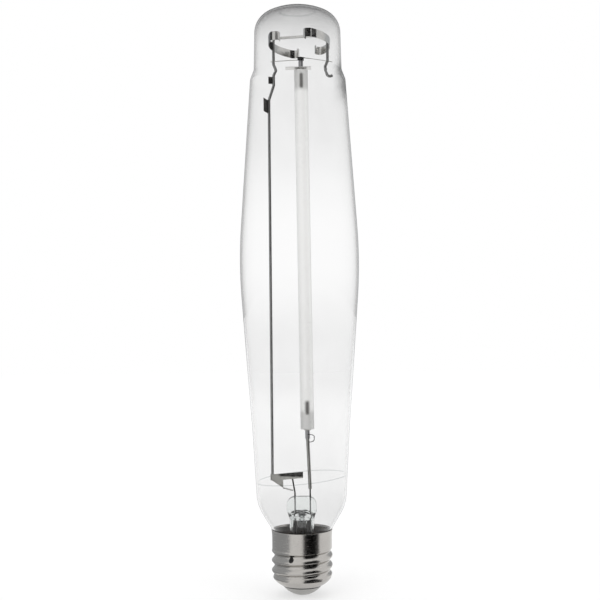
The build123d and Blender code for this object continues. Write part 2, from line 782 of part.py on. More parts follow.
with BuildPart() as lower_bracket:
    with BuildSketch(Plane.XY.offset(bracket_height - bracket_width / 2)):
        with BuildLine():
            CenterArc(leg_centre, wrap_radius, arm_angle + 90, -270)
        trace(line_width=bracket_sheet)
    extrude(amount=bracket_width)
    with BuildSketch(arm_plane):
        with BuildLine():
            Polyline(
                (0, bracket_width / 2),
                (bracket_arm, bracket_width / 2 + bracket_rise),
                (bracket_arm, bracket_rise - bracket_width / 2),
                (web_length, -bracket_width / 3),
                (web_length, -web_drop),
                (0, -bracket_width / 2),
                close=True,
            )
        make_face()
    extrude(amount=bracket_sheet / 2, both=True)
    with BuildSketch(tongue_plane):
        with Locations((tongue_run.length / 2, 0)):
            Rectangle(tongue_run.length, tongue_width)
    extrude(amount=bracket_sheet / 2, both=True)
finish(lower_bracket, "lower_bracket")

# Strap: a flat strip threaded on the upper feedthrough, on top of its seal
strap_plane = Plane(
    origin=arc_top_point + arc_axis * (seal_height + fit), x_dir=(1, 0, 0), z_dir=arc_axis
)

with BuildPart() as end_strap:
    with BuildSketch(strap_plane):
        with Locations((strap_shift, 0)):
            Rectangle(strap_length, strap_width)
        Circle(feed_dia / 2 + fit, mode=Mode.SUBTRACT)
    extrude(amount=strap_sheet)
finish(end_strap, "end_strap")

# Cross wire: welded to both legs of the frame and wound on the upper feedthrough. The wound
# length is drawn as a sleeve, which the runs to the two welds leave at a tangent, one at its
# foot and one at its head. They are a hair thinner than the sleeve's wall.
arc_top = arc_top_point.Z
wrap_centre = arc_top_point + arc_axis * wrap_rise
cross_gap = cross_wire_dia / 2 + fit
coil_radius = feed_dia / 2 + cross_gap
left_weld = Vector(left_leg_top_x, left_leg_y - rod_dia / 2 - cross_gap, arc_top + cross_wire_left)
right_weld = Vector(right_leg_x, right_leg_y - rod_dia / 2 - cross_gap, arc_top + cross_wire_right)

with BuildPart() as cross_wire:
    with BuildSketch(Plane(origin=wrap_centre - arc_axis * cross_wire_dia / 2, z_dir=arc_axis)):
        Circle(coil_radius + cross_wire_dia / 2)
        Circle(coil_radius - cross_wire_dia / 2, mode=Mode.SUBTRACT)
    extrude(amount=wrap_length + cross_wire_dia)
    for weld, side, rise, tail in (
        (left_weld, 1, 0, rod_dia),
        (right_weld, -1, wrap_length, cross_wire_tail),
    ):
        to_weld = weld - wrap_centre
        half_turn = degrees(acos(coil_radius / hypot(to_weld.X, to_weld.Y)))
        angle = degrees(atan2(to_weld.Y, to_weld.X)) + side * half_turn
        start = wrap_centre + arc_axis * rise + Vector(*polar(coil_radius, angle))
        run = weld - start
        with BuildSketch(Plane(origin=start, z_dir=run)):
            Circle((cross_wire_dia - fit) / 2)
        extrude(amount=run.length + tail)
finish(cross_wire, "cross_wire")

# Getter plates, each welded by one edge to the outside of the long leg
for getter_name, width, length, height, leg_x, angle in (
    (
        "lower", lower_getter_width, lower_getter_length,
        lower_getter_height, left_leg_x, lower_getter_angle,
    ),
    (
        "upper", upper_getter_width, upper_getter_length,
        upper_getter_height, left_leg_top_x, upper_getter_angle,
    ),
):
    leg = Vector(leg_x, left_leg_y)
    beside = Vector(*polar(rod_dia / 2 + fit + getter_sheet / 2, angle - 90))
    middle = leg + beside + Vector(*polar(width / 2 - getter_edge, angle))
    with BuildPart() as getter_plate:
        with BuildSketch(
            Plane(
                origin=(middle.X, middle.Y, height),
                x_dir=(*polar(1, angle), 0),
                z_dir=(*polar(1, angle - 90), 0),
            )
        ):
            Rectangle(width, length)
        extrude(amount=getter_sheet / 2, both=True)
    finish(getter_plate, getter_name + "_getter_plate")
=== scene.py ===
import math

import bmesh
import bpy
from mathutils import Matrix, Vector


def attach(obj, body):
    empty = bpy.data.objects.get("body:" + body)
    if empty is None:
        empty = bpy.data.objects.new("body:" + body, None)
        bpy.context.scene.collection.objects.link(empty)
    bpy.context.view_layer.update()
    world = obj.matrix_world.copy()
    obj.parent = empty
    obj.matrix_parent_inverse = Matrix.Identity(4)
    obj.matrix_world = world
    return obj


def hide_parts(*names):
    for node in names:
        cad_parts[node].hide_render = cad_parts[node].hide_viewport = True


bl_info = {
    "name": "High Pressure Sodium Lamp",
    "version": (1, 0, 0),
    "blender": (4, 5, 0),
    "location": "View3D > Sidebar > Lamp",
    "description": "Builds a clear high pressure sodium lamp on a mogul screw cap, piece by piece",
    "category": "Object",
}

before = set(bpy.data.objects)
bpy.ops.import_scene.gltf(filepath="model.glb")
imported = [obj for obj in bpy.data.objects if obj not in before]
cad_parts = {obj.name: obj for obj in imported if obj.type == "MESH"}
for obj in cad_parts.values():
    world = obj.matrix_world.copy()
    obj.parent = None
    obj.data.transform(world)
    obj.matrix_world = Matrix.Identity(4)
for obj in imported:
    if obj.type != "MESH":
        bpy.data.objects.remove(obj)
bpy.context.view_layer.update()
MM = 0.001

# Points closer than this, in metres, are one, and faces that bend less, in degrees, are flat
MERGE_REACH = 2e-6
FLAT_ANGLE = 0.4

# How a grain varies: the size of its patches, and the part by which its gloss changes
GRAINS_IN_A_PATCH = 9
GLOSS_SPREAD = 0.2

# The power that narrows the dark line of glass seen edge on: over most of the glass, and at the
# painted dark bends
THIN_EDGE = 9.0
BEND_EDGE_POWER = 3.0

# Where the bulb changes its tone, in mm. The painted grey shade and the painted dark bends:
# from none to full, by height
CLOUD_WIDTH = 25
UPPER_PAINTED_SHADE = (235, 320)
LOWER_PAINTED_SHADE = (215, 160)
DOME_PAINTED_SHADE = (352, 380)
FOOT_PAINTED_SHADE = (80, 50)
CROWN_BEND = (356, 376)
SHOULDER_LOW = (312, 326)
SHOULDER_HIGH = (350, 338)
SHOULDER_SIDE = (14, 26)
# The seam and the ring: the middle of the line and half its width
SEAM_BAND = (75.6, 0.3)
SEAM_SLANT = 0.087
RING_BAND = (11.7, 0.45)
RING_FLOOR = 360

# Where the mount's materials change their tone, in mm: the greyed ends of the arc tube, its painted
# blurs for the shade of the electrodes seen through the wall (side, low, high), and the places of
# metal with a painted highlight, painted dark reflections or a darker tone, as above
GREYED_HEAD = (325, 329)
GREYED_FOOT = (121, 117)
GREYED_SHARE = 0.35
PAINTED_BLURS = ((2.25, 326, 336), (4.1, 115, 124))
PAINTED_BLUR_SIDE = (2.4, 0.2)
PAINTED_BLUR_FADE = 3
# The painted highlight on the frame's crossbar, from none to full by height
PAINTED_CROSSBAR_HIGHLIGHT = (359, 361)
WOUND_TURNS = (2.1, 2.6)
ARM_SIDE = (-16, -13)
ARM_HEIGHT = (76, 77)
# The painted dark reflections in the springs' curls: their middle and half width along X
CURL_REFLECTIONS = ((-19.0, 3.4), (-3.4, 1.5), (6.4, 1.6), (10.4, 1.5))

# Measures that pieces share, in mm, and the angle where the thread starts, in degrees
CAP_THREAD = (11.4, 31.0)
THREAD_MEAN = 18.8
THREAD_START = 338.8
THREAD_RUNOUT = 3.2
COLLAR_RADIUS = 19.35
RIM_HEIGHT = 42.4
ARC_FOOT = Vector((4.2, 0, 107.2))
ARC_HEAD = Vector((2.1, 0, 340.5))
PLUG_DEPTH = 5.4
FEED_RADIUS = 1.5
FEED_WALL = 0.25
FEED_PLAY = 0.05

# The studio: strengths where 1 is white, the floor's fade in mm and its reach in metres.
# A ray that metal inside the bulb mirrors has met more surfaces than one from the metal outside
ROOM_IN_GLASS = 0.6
RAYS_BEFORE_METAL = 2.5
FLOOR_NEAR = 0.525
FLOOR_FAR = 0.595
FLOOR_FADE = (350, 1400)
FLOOR_REACH = 3.0


def linear(hex_colour):
    """The scene's linear colour for an sRGB hex value."""
    parts = (int(hex_colour[i : i + 2], 16) / 255 for i in (1, 3, 5))
    return tuple(c / 12.92 if c <= 0.04045 else ((c + 0.055) / 1.055) ** 2.4 for c in parts)


def polar(radius, angle, height=0.0):
    """A point in the plan view, its angle in degrees from +X."""
    return Vector(
        (radius * math.cos(math.radians(angle)), radius * math.sin(math.radians(angle)), height)
    )


def length_size(name, description, size_mm):
    """A size of the lamp in metres, its default given in millimetres."""
    return bpy.props.FloatProperty(
        name=name, description=description, default=size_mm * MM, min=0.0, precision=5, unit="LENGTH"
    )


def colour_of(name, description, hex_colour):
    """A colour of the lamp, its default given as sRGB hex."""
    return bpy.props.FloatVectorProperty(
        name=name,
        description=description,
        default=linear(hex_colour),
        min=0.0,
        max=1.0,
        size=3,
        subtype="COLOR",
    )


class LampSizes(bpy.types.PropertyGroup):
    """Sizes that a user would change; the lengths and heights come from the solids."""

    bulb_wall: length_size("Bulb wall", "Thickness of the outer glass", 1.0)
    shell_sheet: length_size("Cap sheet", "Thickness of the cap's rolled sheet", 0.4)
    thread_depth: length_size("Thread depth", "Depth of the round thread", 1.8)
    thread_pitch: length_size("Thread pitch", "Rise of the thread in one turn", 6.35)
    rod_radius: length_size("Frame rod radius", "Half the thickness of the frame's rod", 0.9)
    lead_radius: length_size("Lead radius", "Half the thickness of the lead wires", 0.5)
    cross_wire_radius: length_size("Cross wire radius", "Half the cross wire's thickness", 0.3)
    winding_wire_radius: length_size("Winding wire radius", "Half the winding's wire", 0.27)
    edge_round: length_size("Edge rounding", "Rounding of the cut edges of strips", 0.06)
    round_segments: bpy.props.IntProperty(
        name="Segments", description="Steps around a large turned piece", default=160, min=24, max=256
    )


class LampColours(bpy.types.PropertyGroup):
    """Colours of the materials that the lamp is made of."""

    glass: colour_of("Glass", "Tint of the outer glass", "#FEFEFE")
    glass_edge: colour_of("Glass edge", "Tint of the glass where it is seen edge on", "#8E9092")
    # Painted shade: the dark line at the crown and at one side of the shoulder
    bend_painted_shade: colour_of("Thick glass edge", "Tint of the crown and shoulder edge on", "#2C2D2E")
    # The glass film and the dome film: painted grey shade over the upper and lower body and in the dome
    glass_film: colour_of("Glass film", "Grey film over the upper and the lower body", "#F5F5F5")
    dome_painted_shade: colour_of("Dome film", "Grey film in the dome", "#E0E0E0")
    glass_line: colour_of("Glass seam", "Tint of the seam above the cone", "#DADCDC")
    dome_ring: colour_of("Dome ring", "Tint of the ring in the dome", "#C6C8C8")
    stem_glass: colour_of("Stem glass", "Tint of the pressed stem", "#F1F4F3")
    alumina: colour_of("Alumina", "Sintered arc tube", "#FEFEFC")
    frit: colour_of("Frit", "Fused sealing glass", "#D3D2CE")
    cap: colour_of("Cap", "Nickel-plated brass of the cap", "#B9B6B2")
    contact: colour_of("Contact", "Nickel-plated brass of the centre contact", "#B2B1AE")
    insulator: colour_of("Insulator", "Black glass under the cap", "#1B191D")
    solder: colour_of("Solder", "Melted tin in the centre contact", "#B9B8B6")
    weld: colour_of("Weld", "Burnt weld of the side wire", "#060505")
    cement: colour_of("Cement", "Cured basing cement", "#2A231C")
    rod: colour_of("Frame rod", "Nickel-plated steel rod", "#8A8A89")
    nickel: colour_of("Nickel", "Drawn nickel wire and strip", "#9B9A96")
    fired_nickel: colour_of("Fired nickel", "Wires that the sealing flame has darkened", "#2A2826")
    # Also the painted dark reflections in the springs' curls, and the darker turns and bracket arm
    dark_metal: colour_of("Dark metal", "Metal blackened by heat and by its own bends", "#121110")
    # Vapour: also the painted blurs, the shade of the electrodes seen through the tube's wall
    vapour_and_blur_grey: colour_of("Vapour", "Metal that has settled inside the tube's ends", "#5E5C5A")
    # Springs: also the colour of the painted highlight on the frame's crossbar
    spring: colour_of("Springs", "Rolled stainless strip", "#D4D3D0")
    getter: colour_of("Getters", "Grey filled getter strips", "#33302D")
    niobium: colour_of("Niobium", "Drawn niobium feedthroughs", "#A2A1A3")
    tungsten: colour_of("Tungsten", "Tungsten electrodes", "#55555A")


# Nodes and meshes


def add_node(tree, kind, inputs=None, **settings):
    """Add a node with its settings, each input a value or a socket to link, and give its outputs."""
    node = tree.nodes.new(kind)
    for name, value in settings.items():
        setattr(node, name, value)
    for name, value in (inputs or {}).items():
        if isinstance(value, bpy.types.NodeSocket):
            tree.links.new(value, node.inputs[name])
        else:
            node.inputs[name].default_value = value
    return node.outputs


def joined(tree, operation, result, *others):
    """Numbers joined by one operation, from left to right."""
    for other in others:
        result = add_node(tree, "ShaderNodeMath", {0: result, 1: other}, operation=operation)[0]
    return result


def new_tree(name, inputs, crease):
    """An empty geometry tree with a mesh and named inputs, and what it is given."""
    tree = bpy.data.node_groups.new(name, "GeometryNodeTree")
    for way in ("INPUT", "OUTPUT"):
        tree.interface.new_socket(name="Geometry", in_out=way, socket_type="NodeSocketGeometry")
    for label, value in {**inputs, "Crease": math.radians(crease), "Material": None}.items():
        kind = {int: "Int", float: "Float", type(None): "Material"}[type(value)]
        socket = tree.interface.new_socket(name=label, in_out="INPUT", socket_type="NodeSocket" + kind)
        if value is not None:
            socket.default_value = value
    return tree, add_node(tree, "NodeGroupInput")


def end_tree(tree, given, mesh):
    """Shade the tree's mesh smooth up to its crease angle, realize it and give it its material."""
    faces = add_node(tree, "GeometryNodeSetShadeSmooth", {"Geometry": mesh})[0]
    between = add_node(tree, "GeometryNodeInputMeshEdgeAngle")["Unsigned Angle"]
    flat_enough = add_node(
        tree, "FunctionNodeCompare", {"A": between, "B": given["Crease"]}, operation="LESS_THAN"
    )[0]
    edges = add_node(
        tree,
        "GeometryNodeSetShadeSmooth",
        {"Geometry": faces, "Shade Smooth": flat_enough},
        domain="EDGE",
    )[0]
    real = add_node(tree, "GeometryNodeRealizeInstances", {"Geometry": edges})[0]
    dressed_mesh = add_node(
        tree, "GeometryNodeSetMaterial", {"Geometry": real, "Material": given["Material"]}
    )[0]
    add_node(tree, "NodeGroupOutput", {"Geometry": dressed_mesh})
    return tree


def bent_line(tree, given):
    """The piece's own line as a curve, each corner bent to the radius that it carries."""
    line = add_node(tree, "GeometryNodeMeshToCurve", {"Mesh": given["Geometry"]})[0]
    bend = add_node(tree, "GeometryNodeInputNamedAttribute", {"Name": "bend"}, data_type="FLOAT")
    return add_node(
        tree,
        "GeometryNodeFilletCurve",
        {
            "Curve": line,
            "Count": given["Bend steps"],
            "Radius": bend["Attribute"],
            "Limit Radius": True,
        },
        mode="POLY",
    )[0]


def turned_tree():
    """An outline in the XZ plane turned about Z, with a round thread where it has a depth."""
    tree, given = new_tree(
        "turned_piece",
        {
            "Segments": 96,
            "Bend steps": 8,
            "Thread depth": 0.0,
            "Thread pitch": 1.0,
            "Thread start": 0.0,
            "Thread low": 0.0,
            "Thread high": 0.0,
            "Thread run out": 1.0,
        },
        crease=32,
    )
    # A flat grid, with a row for each point of the outline and a column for each step around
    outline = bent_line(tree, given)
    rows = add_node(
        tree, "GeometryNodeAttributeDomainSize", {"Geometry": outline}, component="CURVE"
    )["Point Count"]
    counts = "FunctionNodeIntegerMath"
    columns = add_node(tree, counts, {0: given["Segments"], 1: 1}, operation="ADD")[0]
    sheet = add_node(tree, "GeometryNodeMeshGrid", {"Vertices X": rows, "Vertices Y": columns})["Mesh"]
    index = add_node(tree, "GeometryNodeInputIndex")[0]
    row = add_node(tree, counts, {0: index, 1: columns}, operation="DIVIDE_FLOOR")[0]
    column = add_node(tree, counts, {0: index, 1: columns}, operation="MODULO")[0]
    on_outline = add_node(
        tree,
        "GeometryNodeSampleIndex",
        {"Geometry": outline, "Value": add_node(tree, "GeometryNodeInputPosition")[0], "Index": row},
        data_type="FLOAT_VECTOR",
    )[0]
    angle = joined(tree, "MULTIPLY", joined(tree, "DIVIDE", column, given["Segments"]), math.tau)
    # The thread swings the radius with the angle, and fades out towards both of its ends
    place = add_node(tree, "ShaderNodeSeparateXYZ", {0: on_outline})
    from_end = joined(
        tree,
        "MINIMUM",
        joined(tree, "SUBTRACT", place["Z"], given["Thread low"]),
        joined(tree, "SUBTRACT", given["Thread high"], place["Z"]),
    )
    share = add_node(
        tree,
        "ShaderNodeMapRange",
        {"Value": from_end, "From Max": given["Thread run out"]},
        interpolation_type="SMOOTHSTEP",
    )[0]
    turns = joined(tree, "DIVIDE", place["Z"], given["Thread pitch"])
    crest = joined(tree, "ADD", joined(tree, "MULTIPLY", turns, math.tau), given["Thread start"])
    phase = joined(tree, "SUBTRACT", angle, crest)
    wave = add_node(tree, "ShaderNodeMath", {0: phase}, operation="COSINE")[0]
    swing = joined(tree, "MULTIPLY", given["Thread depth"], 0.5, share)
    radius = joined(tree, "ADD", place["X"], joined(tree, "MULTIPLY", swing, wave))
    moved = add_node(tree, "ShaderNodeCombineXYZ", {"X": radius, "Y": place["Y"], "Z": place["Z"]})[0]
    spun = add_node(
        tree, "ShaderNodeVectorRotate", {"Vector": moved, "Angle": angle}, rotation_type="Z_AXIS"
    )[0]
    shape = add_node(tree, "GeometryNodeSetPosition", {"Geometry": sheet, "Position": spun})[0]
    outward = add_node(tree, "GeometryNodeFlipFaces", {"Mesh": shape})[0]
    closed = add_node(
        tree, "GeometryNodeMergeByDistance", {"Geometry": outward, "Distance": MERGE_REACH}
    )[0]
    return end_tree(tree, given, closed)


def end_wire_tree(tree, given, line):
    """Lay a round wire with closed ends along a curve."""
    ring = add_node(
        tree,
        "GeometryNodeCurvePrimitiveCircle",
        {"Resolution": given["Sides"], "Radius": given["Wire radius"]},
    )[0]
    wire_mesh = add_node(
        tree, "GeometryNodeCurveToMesh", {"Curve": line, "Profile Curve": ring, "Fill Caps": True}
    )[0]
    return end_tree(tree, given, wire_mesh)


def bent_wire_tree():
    """A round wire along the piece's own line."""
    tree, given = new_tree(
        "bent_wire", {"Wire radius": 0.0005, "Bend steps": 10, "Sides": 20}, crease=50
    )
    return end_wire_tree(tree, given, bent_line(tree, given))


def wound_wire_tree():
    """Turns of round wire about Z, one beside the other."""
    tree, given = new_tree(
        "wound_wire",
        {
            "Wire radius": 0.0003,
            "Coil radius": 0.001,
            "Coil height": 0.004,
            "Turns": 6.0,
            "Steps per turn": 28,
            "Sides": 12,
        },
        crease=50,
    )
    turns = add_node(
        tree,
        "GeometryNodeCurveSpiral",
        {
            "Resolution": given["Steps per turn"],
            "Rotations": given["Turns"],
            "Start Radius": given["Coil radius"],
            "End Radius": given["Coil radius"],
            "Height": given["Coil height"],
        },
    )[0]
    return end_wire_tree(tree, given, turns)


TREE_MAKERS = {"turned_piece": turned_tree, "bent_wire": bent_wire_tree, "wound_wire": wound_wire_tree}


def add_object(name, data, finish=None):
    """A new object in the scene, its mesh with its finish."""
    if finish:
        data.materials.append(finish)
    made = bpy.data.objects.new(name, data)
    bpy.context.scene.collection.objects.link(made)
    return made


def add_shape(name, shape, finish):
    """A new object in the scene with the shape that was built."""
    mesh = bpy.data.meshes.new(name)
    shape.to_mesh(mesh)
    shape.free()
    return add_object(name, mesh, finish)


def new_piece(name, points=((0, 0, 0),), bends=0.0):
    """An object whose mesh is a line through points in mm, with the bend of each corner."""
    mesh = bpy.data.meshes.new(name)
    steps = [(i, i + 1) for i in range(len(points) - 1)]
    mesh.from_pydata([Vector(point) * MM for point in points], steps, [])
    if isinstance(bends, (int, float)):
        bends = [bends] * len(points)
    bend = mesh.attributes.new("bend", "FLOAT", "POINT")
    bend.data.foreach_set("value", [radius * MM for radius in bends])
    return add_object(name, mesh)


def hide_from(piece, *rays):
    """Keep an object out of what some kinds of rays see."""
    for kind in rays:
        setattr(piece, "visible_" + kind, False)


def settle(piece):
    """Keep what the modifiers make of a piece as its plain mesh."""
    graph = bpy.context.evaluated_depsgraph_get()
    made = bpy.data.meshes.new_from_object(piece.evaluated_get(graph), depsgraph=graph)
    if not made.polygons:
        raise RuntimeError(piece.name + " came out with no faces")
    piece.modifiers.clear()
    piece.data = made
    made.name = piece.name


def hand_over(piece, node):
    """Let a finished piece ride on the lamp in place of its solid."""
    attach(piece, "root")
    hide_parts(node)


def grow(piece, tree_name, finish, **sizes):
    """Put a node tree on a piece and set the inputs that are named as the sizes are."""
    tree = bpy.data.node_groups.get(tree_name) or TREE_MAKERS[tree_name]()
    modifier = piece.modifiers.new(tree_name, "NODES")
    modifier.node_group = tree
    sockets = {s.name: s.identifier for s in tree.interface.items_tree if s.in_out == "INPUT"}
    for name, value in {**sizes, "material": finish}.items():
        modifier[sockets[name.replace("_", " ").capitalize()]] = value


def round_edges(piece, width, steps, angle):
    """Round the edges of a piece that are sharper than an angle in degrees."""
    rounding = piece.modifiers.new("edge", "BEVEL")
    rounding.width = width
    rounding.segments = steps
    rounding.angle_limit = math.radians(angle)


def turned(name, finish, points, bends=0.0, wall=0.0, edge=0.0, place=None, **sizes):
    """A turned piece. Its outline runs up the outside and down the inside, (radius, height) in mm."""
    piece = new_piece(name, [(radius, 0, height) for radius, height in points], bends)
    grow(piece, "turned_piece", finish, **sizes)
    if wall:
        sheet = piece.modifiers.new("wall", "SOLIDIFY")
        sheet.thickness = wall
        sheet.offset = -1.0
        sheet.use_even_offset = True
    if edge:
        round_edges(piece, edge, steps=3, angle=50)
    settle(piece)
    if place:
        piece.data.transform(place)
    return piece


def wire(name, finish, points, radius, bends=0.0, sides=20):
    """A bent round wire through points in mm."""
    piece = new_piece(name, points, bends)
    grow(piece, "bent_wire", finish, wire_radius=radius, sides=sides)
    settle(piece)
    return piece


def dressed(node, finish, edge=0.0, crease=30.0):
    """A node's own shape with its doubles merged, its flat faces joined and its edges rounded."""
    shape = bmesh.new()
    shape.from_mesh(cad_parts[node].data)
    bmesh.ops.remove_doubles(shape, verts=shape.verts, dist=MERGE_REACH)
    bmesh.ops.dissolve_limit(
        shape, angle_limit=math.radians(FLAT_ANGLE), verts=shape.verts, edges=shape.edges
    )
    for face in shape.faces:
        face.smooth = True
        face.material_index = 0
    for rim in shape.edges:
        rim.smooth = rim.calc_face_angle(0.0) < math.radians(crease)
    piece = add_shape(node + "_dressed", shape, finish)
    if "custom_normal" in piece.data.attributes:
        piece.data.attributes.remove(piece.data.attributes["custom_normal"])
    if edge:
        round_edges(piece, edge, steps=2, angle=40)
        settle(piece)
    return piece


# Materials


def new_material(name):
    """A material, its empty tree, and the place on the piece."""
    material = bpy.data.materials.new(name)
    material.use_nodes = True
    tree = material.node_tree
    tree.nodes.clear()
    return material, tree, add_node(tree, "ShaderNodeTexCoord")["Object"]


def rise(tree, value, start, end):
    """0 before the start and 1 past the end, in mm, smooth between them."""
    return add_node(
        tree,
        "ShaderNodeMapRange",
        {"Value": value, "From Min": start * MM, "From Max": end * MM},
        interpolation_type="SMOOTHSTEP",
    )[0]


def within(tree, value, middle, reach):
    """1 within a reach of the middle, in mm, and 0 outside."""
    return add_node(
        tree, "ShaderNodeMath", {0: value, 1: middle * MM, 2: reach * MM}, operation="COMPARE"
    )[0]


def blended(tree, share, none, full):
    """A number that goes from one value to another while a share goes from 0 to 1."""
    return add_node(
        tree, "ShaderNodeMath", {0: share, 1: full - none, 2: none}, operation="MULTIPLY_ADD"
    )[0]


def laid_over(tree, share, under, over):
    """A colour laid over another one with a share from 0 to 1."""
    return add_node(
        tree, "ShaderNodeMix", {0: share, 6: under, 7: (*over, 1)}, data_type="RGBA"
    )["Result"]


def grained(
    name, colours, colour, roughness, grain, depth, spread, stretch=(1, 1, 1), shade=None, **constants
):
    """A surface with a grain in mm that varies its colour, its gloss and its relief.

    The shade gives a second colour, its share from the places along X and Z, and its mottling.
    """
    material, tree, place = new_material(name)
    colour = getattr(colours, colour)
    laid = add_node(tree, "ShaderNodeMapping", {"Vector": place, "Scale": stretch})[0]
    noise = add_node(
        tree,
        "ShaderNodeTexNoise",
        {"Vector": laid, "Scale": 1 / (grain * MM), "Detail": 5.0, "Roughness": 0.6},
    )["Fac"]
    patch = grain * GRAINS_IN_A_PATCH * MM
    patches = add_node(
        tree, "ShaderNodeTexNoise", {"Vector": place, "Scale": 1 / patch, "Detail": 2.0}
    )["Fac"]
    # Each noise keeps near 0.5, from 0.3 to 0.7, and so the sum of both keeps near 1
    bright = add_node(
        tree,
        "ShaderNodeMapRange",
        {"Value": joined(tree, "ADD", noise, patches), "From Min": 0.7, "From Max": 1.3},
    )[0]
    darker = (*(c * (1 - spread) for c in colour), 1)
    tone = laid_over(tree, bright, darker, [min(1.0, c * (1 + spread)) for c in colour])
    if shade:
        over, share, mottle = shade
        axes = add_node(tree, "ShaderNodeSeparateXYZ", {0: place})
        strong = blended(tree, noise, 1.05 - mottle / 2, 1.05 + mottle / 2)
        part = joined(tree, "MULTIPLY", share(tree, axes["X"], axes["Z"]), strong)
        tone = laid_over(tree, joined(tree, "MINIMUM", part, 1.0), tone, getattr(colours, over))
    gloss = add_node(
        tree,
        "ShaderNodeMapRange",
        {
            "Value": noise,
            "From Min": 0.3,
            "From Max": 0.7,
            "To Min": roughness * (1 - GLOSS_SPREAD),
            "To Max": roughness * (1 + GLOSS_SPREAD),
        },
    )[0]
    relief = add_node(
        tree, "ShaderNodeBump", {"Height": noise, "Distance": depth * MM, "Strength": 1.0}
    )[0]
    shader = add_node(
        tree,
        "ShaderNodeBsdfPrincipled",
        {"Base Color": tone, "Roughness": gloss, "Normal": relief, **constants},
    )[0]
    add_node(tree, "ShaderNodeOutputMaterial", {"Surface": shader})
    return material


def clear_glass(name, tone, edge_colour, ior, open_rays, paint=None):
    """Clear glass, darker where it is seen edge on, and open to the rays of some kinds.

    The paint gives, by the place on the piece, its tone, that of its edge and the edge's power.
    """
    material, tree, place = new_material(name)
    tone, edge_tone, steep = (*tone, 1), (*edge_colour, 1), THIN_EDGE
    if paint:
        tone, edge_tone, steep = paint(tree, place)
    facing = add_node(tree, "ShaderNodeLayerWeight", {"Blend": 0.5})["Facing"]
    body = add_node(
        tree,
        "ShaderNodeBsdfPrincipled",
        {"Base Color": tone, "Roughness": 0.0, "IOR": ior, "Transmission Weight": 1.0},
    )[0]
    line = add_node(tree, "ShaderNodeBsdfTransparent", {"Color": edge_tone})[0]
    edge_on = joined(tree, "POWER", facing, steep)
    glass = add_node(tree, "ShaderNodeMixShader", {0: edge_on, 1: body, 2: line})[0]
    ray = add_node(tree, "ShaderNodeLightPath")
    passing = joined(tree, "MAXIMUM", ray["Is Shadow Ray"], *(ray[kind] for kind in open_rays))
    clear = add_node(tree, "ShaderNodeBsdfTransparent")[0]
    through = add_node(tree, "ShaderNodeMixShader", {0: passing, 1: glass, 2: clear})[0]
    add_node(tree, "ShaderNodeOutputMaterial", {"Surface": through})
    return material


def bulb_glass(colours):
    # Blown borosilicate glass, fire polished: almost invisible, a dark line where it turns away,
    # a breath of painted grey shade above and below the belly, and a faint seam that runs a little
    # aslant.
    # Its index is lower than real, which keeps the mirror image of the bright room faint
    def paint(tree, place):
        axes = add_node(tree, "ShaderNodeSeparateXYZ", {0: place})
        side, height = axes["X"], axes["Z"]
        cloud_scale = 1 / (CLOUD_WIDTH * MM)
        clouds = add_node(
            tree, "ShaderNodeTexNoise", {"Vector": place, "Scale": cloud_scale, "Detail": 3.0}
        )["Fac"]
        uneven = joined(tree, "ADD", clouds, 0.5)
        tone = (*colours.glass, 1)
        # Painted grey shade laid over the glass above and below the belly, in the dome and at the foot
        for above, below, share_below, film in (
            (UPPER_PAINTED_SHADE, LOWER_PAINTED_SHADE, 0.8, colours.glass_film),
            (DOME_PAINTED_SHADE, FOOT_PAINTED_SHADE, 0.25, colours.dome_painted_shade),
        ):
            share = joined(tree, "MULTIPLY", rise(tree, height, *below), share_below)
            share = joined(tree, "MAXIMUM", rise(tree, height, *above), share)
            tone = laid_over(tree, joined(tree, "MULTIPLY", share, uneven), tone, film)
        level = joined(tree, "SUBTRACT", height, joined(tree, "MULTIPLY", side, SEAM_SLANT))
        tone = laid_over(tree, within(tree, level, *SEAM_BAND), tone, colours.glass_line)
        across = add_node(tree, "ShaderNodeCombineXYZ", {0: side, 1: axes["Y"], 2: 0.0})[0]
        radius = add_node(tree, "ShaderNodeVectorMath", {0: across}, operation="LENGTH")["Value"]
        in_dome = joined(tree, "GREATER_THAN", height, RING_FLOOR * MM)
        ring = joined(tree, "MULTIPLY", within(tree, radius, *RING_BAND), in_dome)
        tone = laid_over(tree, ring, tone, colours.dome_ring)
        # Painted shade: a wider dark line seen edge on, at the crown and at one side of the shoulder
        shoulder = joined(
            tree,
            "MULTIPLY",
            rise(tree, height, *SHOULDER_LOW),
            rise(tree, height, *SHOULDER_HIGH),
            rise(tree, side, *SHOULDER_SIDE),
        )
        bend = joined(tree, "MAXIMUM", rise(tree, height, *CROWN_BEND), shoulder)
        edge_tone = laid_over(tree, bend, (*colours.glass_edge, 1), colours.bend_painted_shade)
        return tone, edge_tone, blended(tree, bend, THIN_EDGE, BEND_EDGE_POWER)

    return clear_glass(
        "blown_borosilicate_glass",
        colours.glass,
        colours.glass_edge,
        1.22,
        ("Is Diffuse Ray", "Is Reflection Ray"),
        paint,
    )


def stem_glass(colours):
    # Pressed lead glass: clear and thick, with strong dark and bright lines at its bends
    return clear_glass(
        "pressed_lead_glass", colours.stem_glass, colours.glass_edge, 1.5, ("Is Diffuse Ray",)
    )


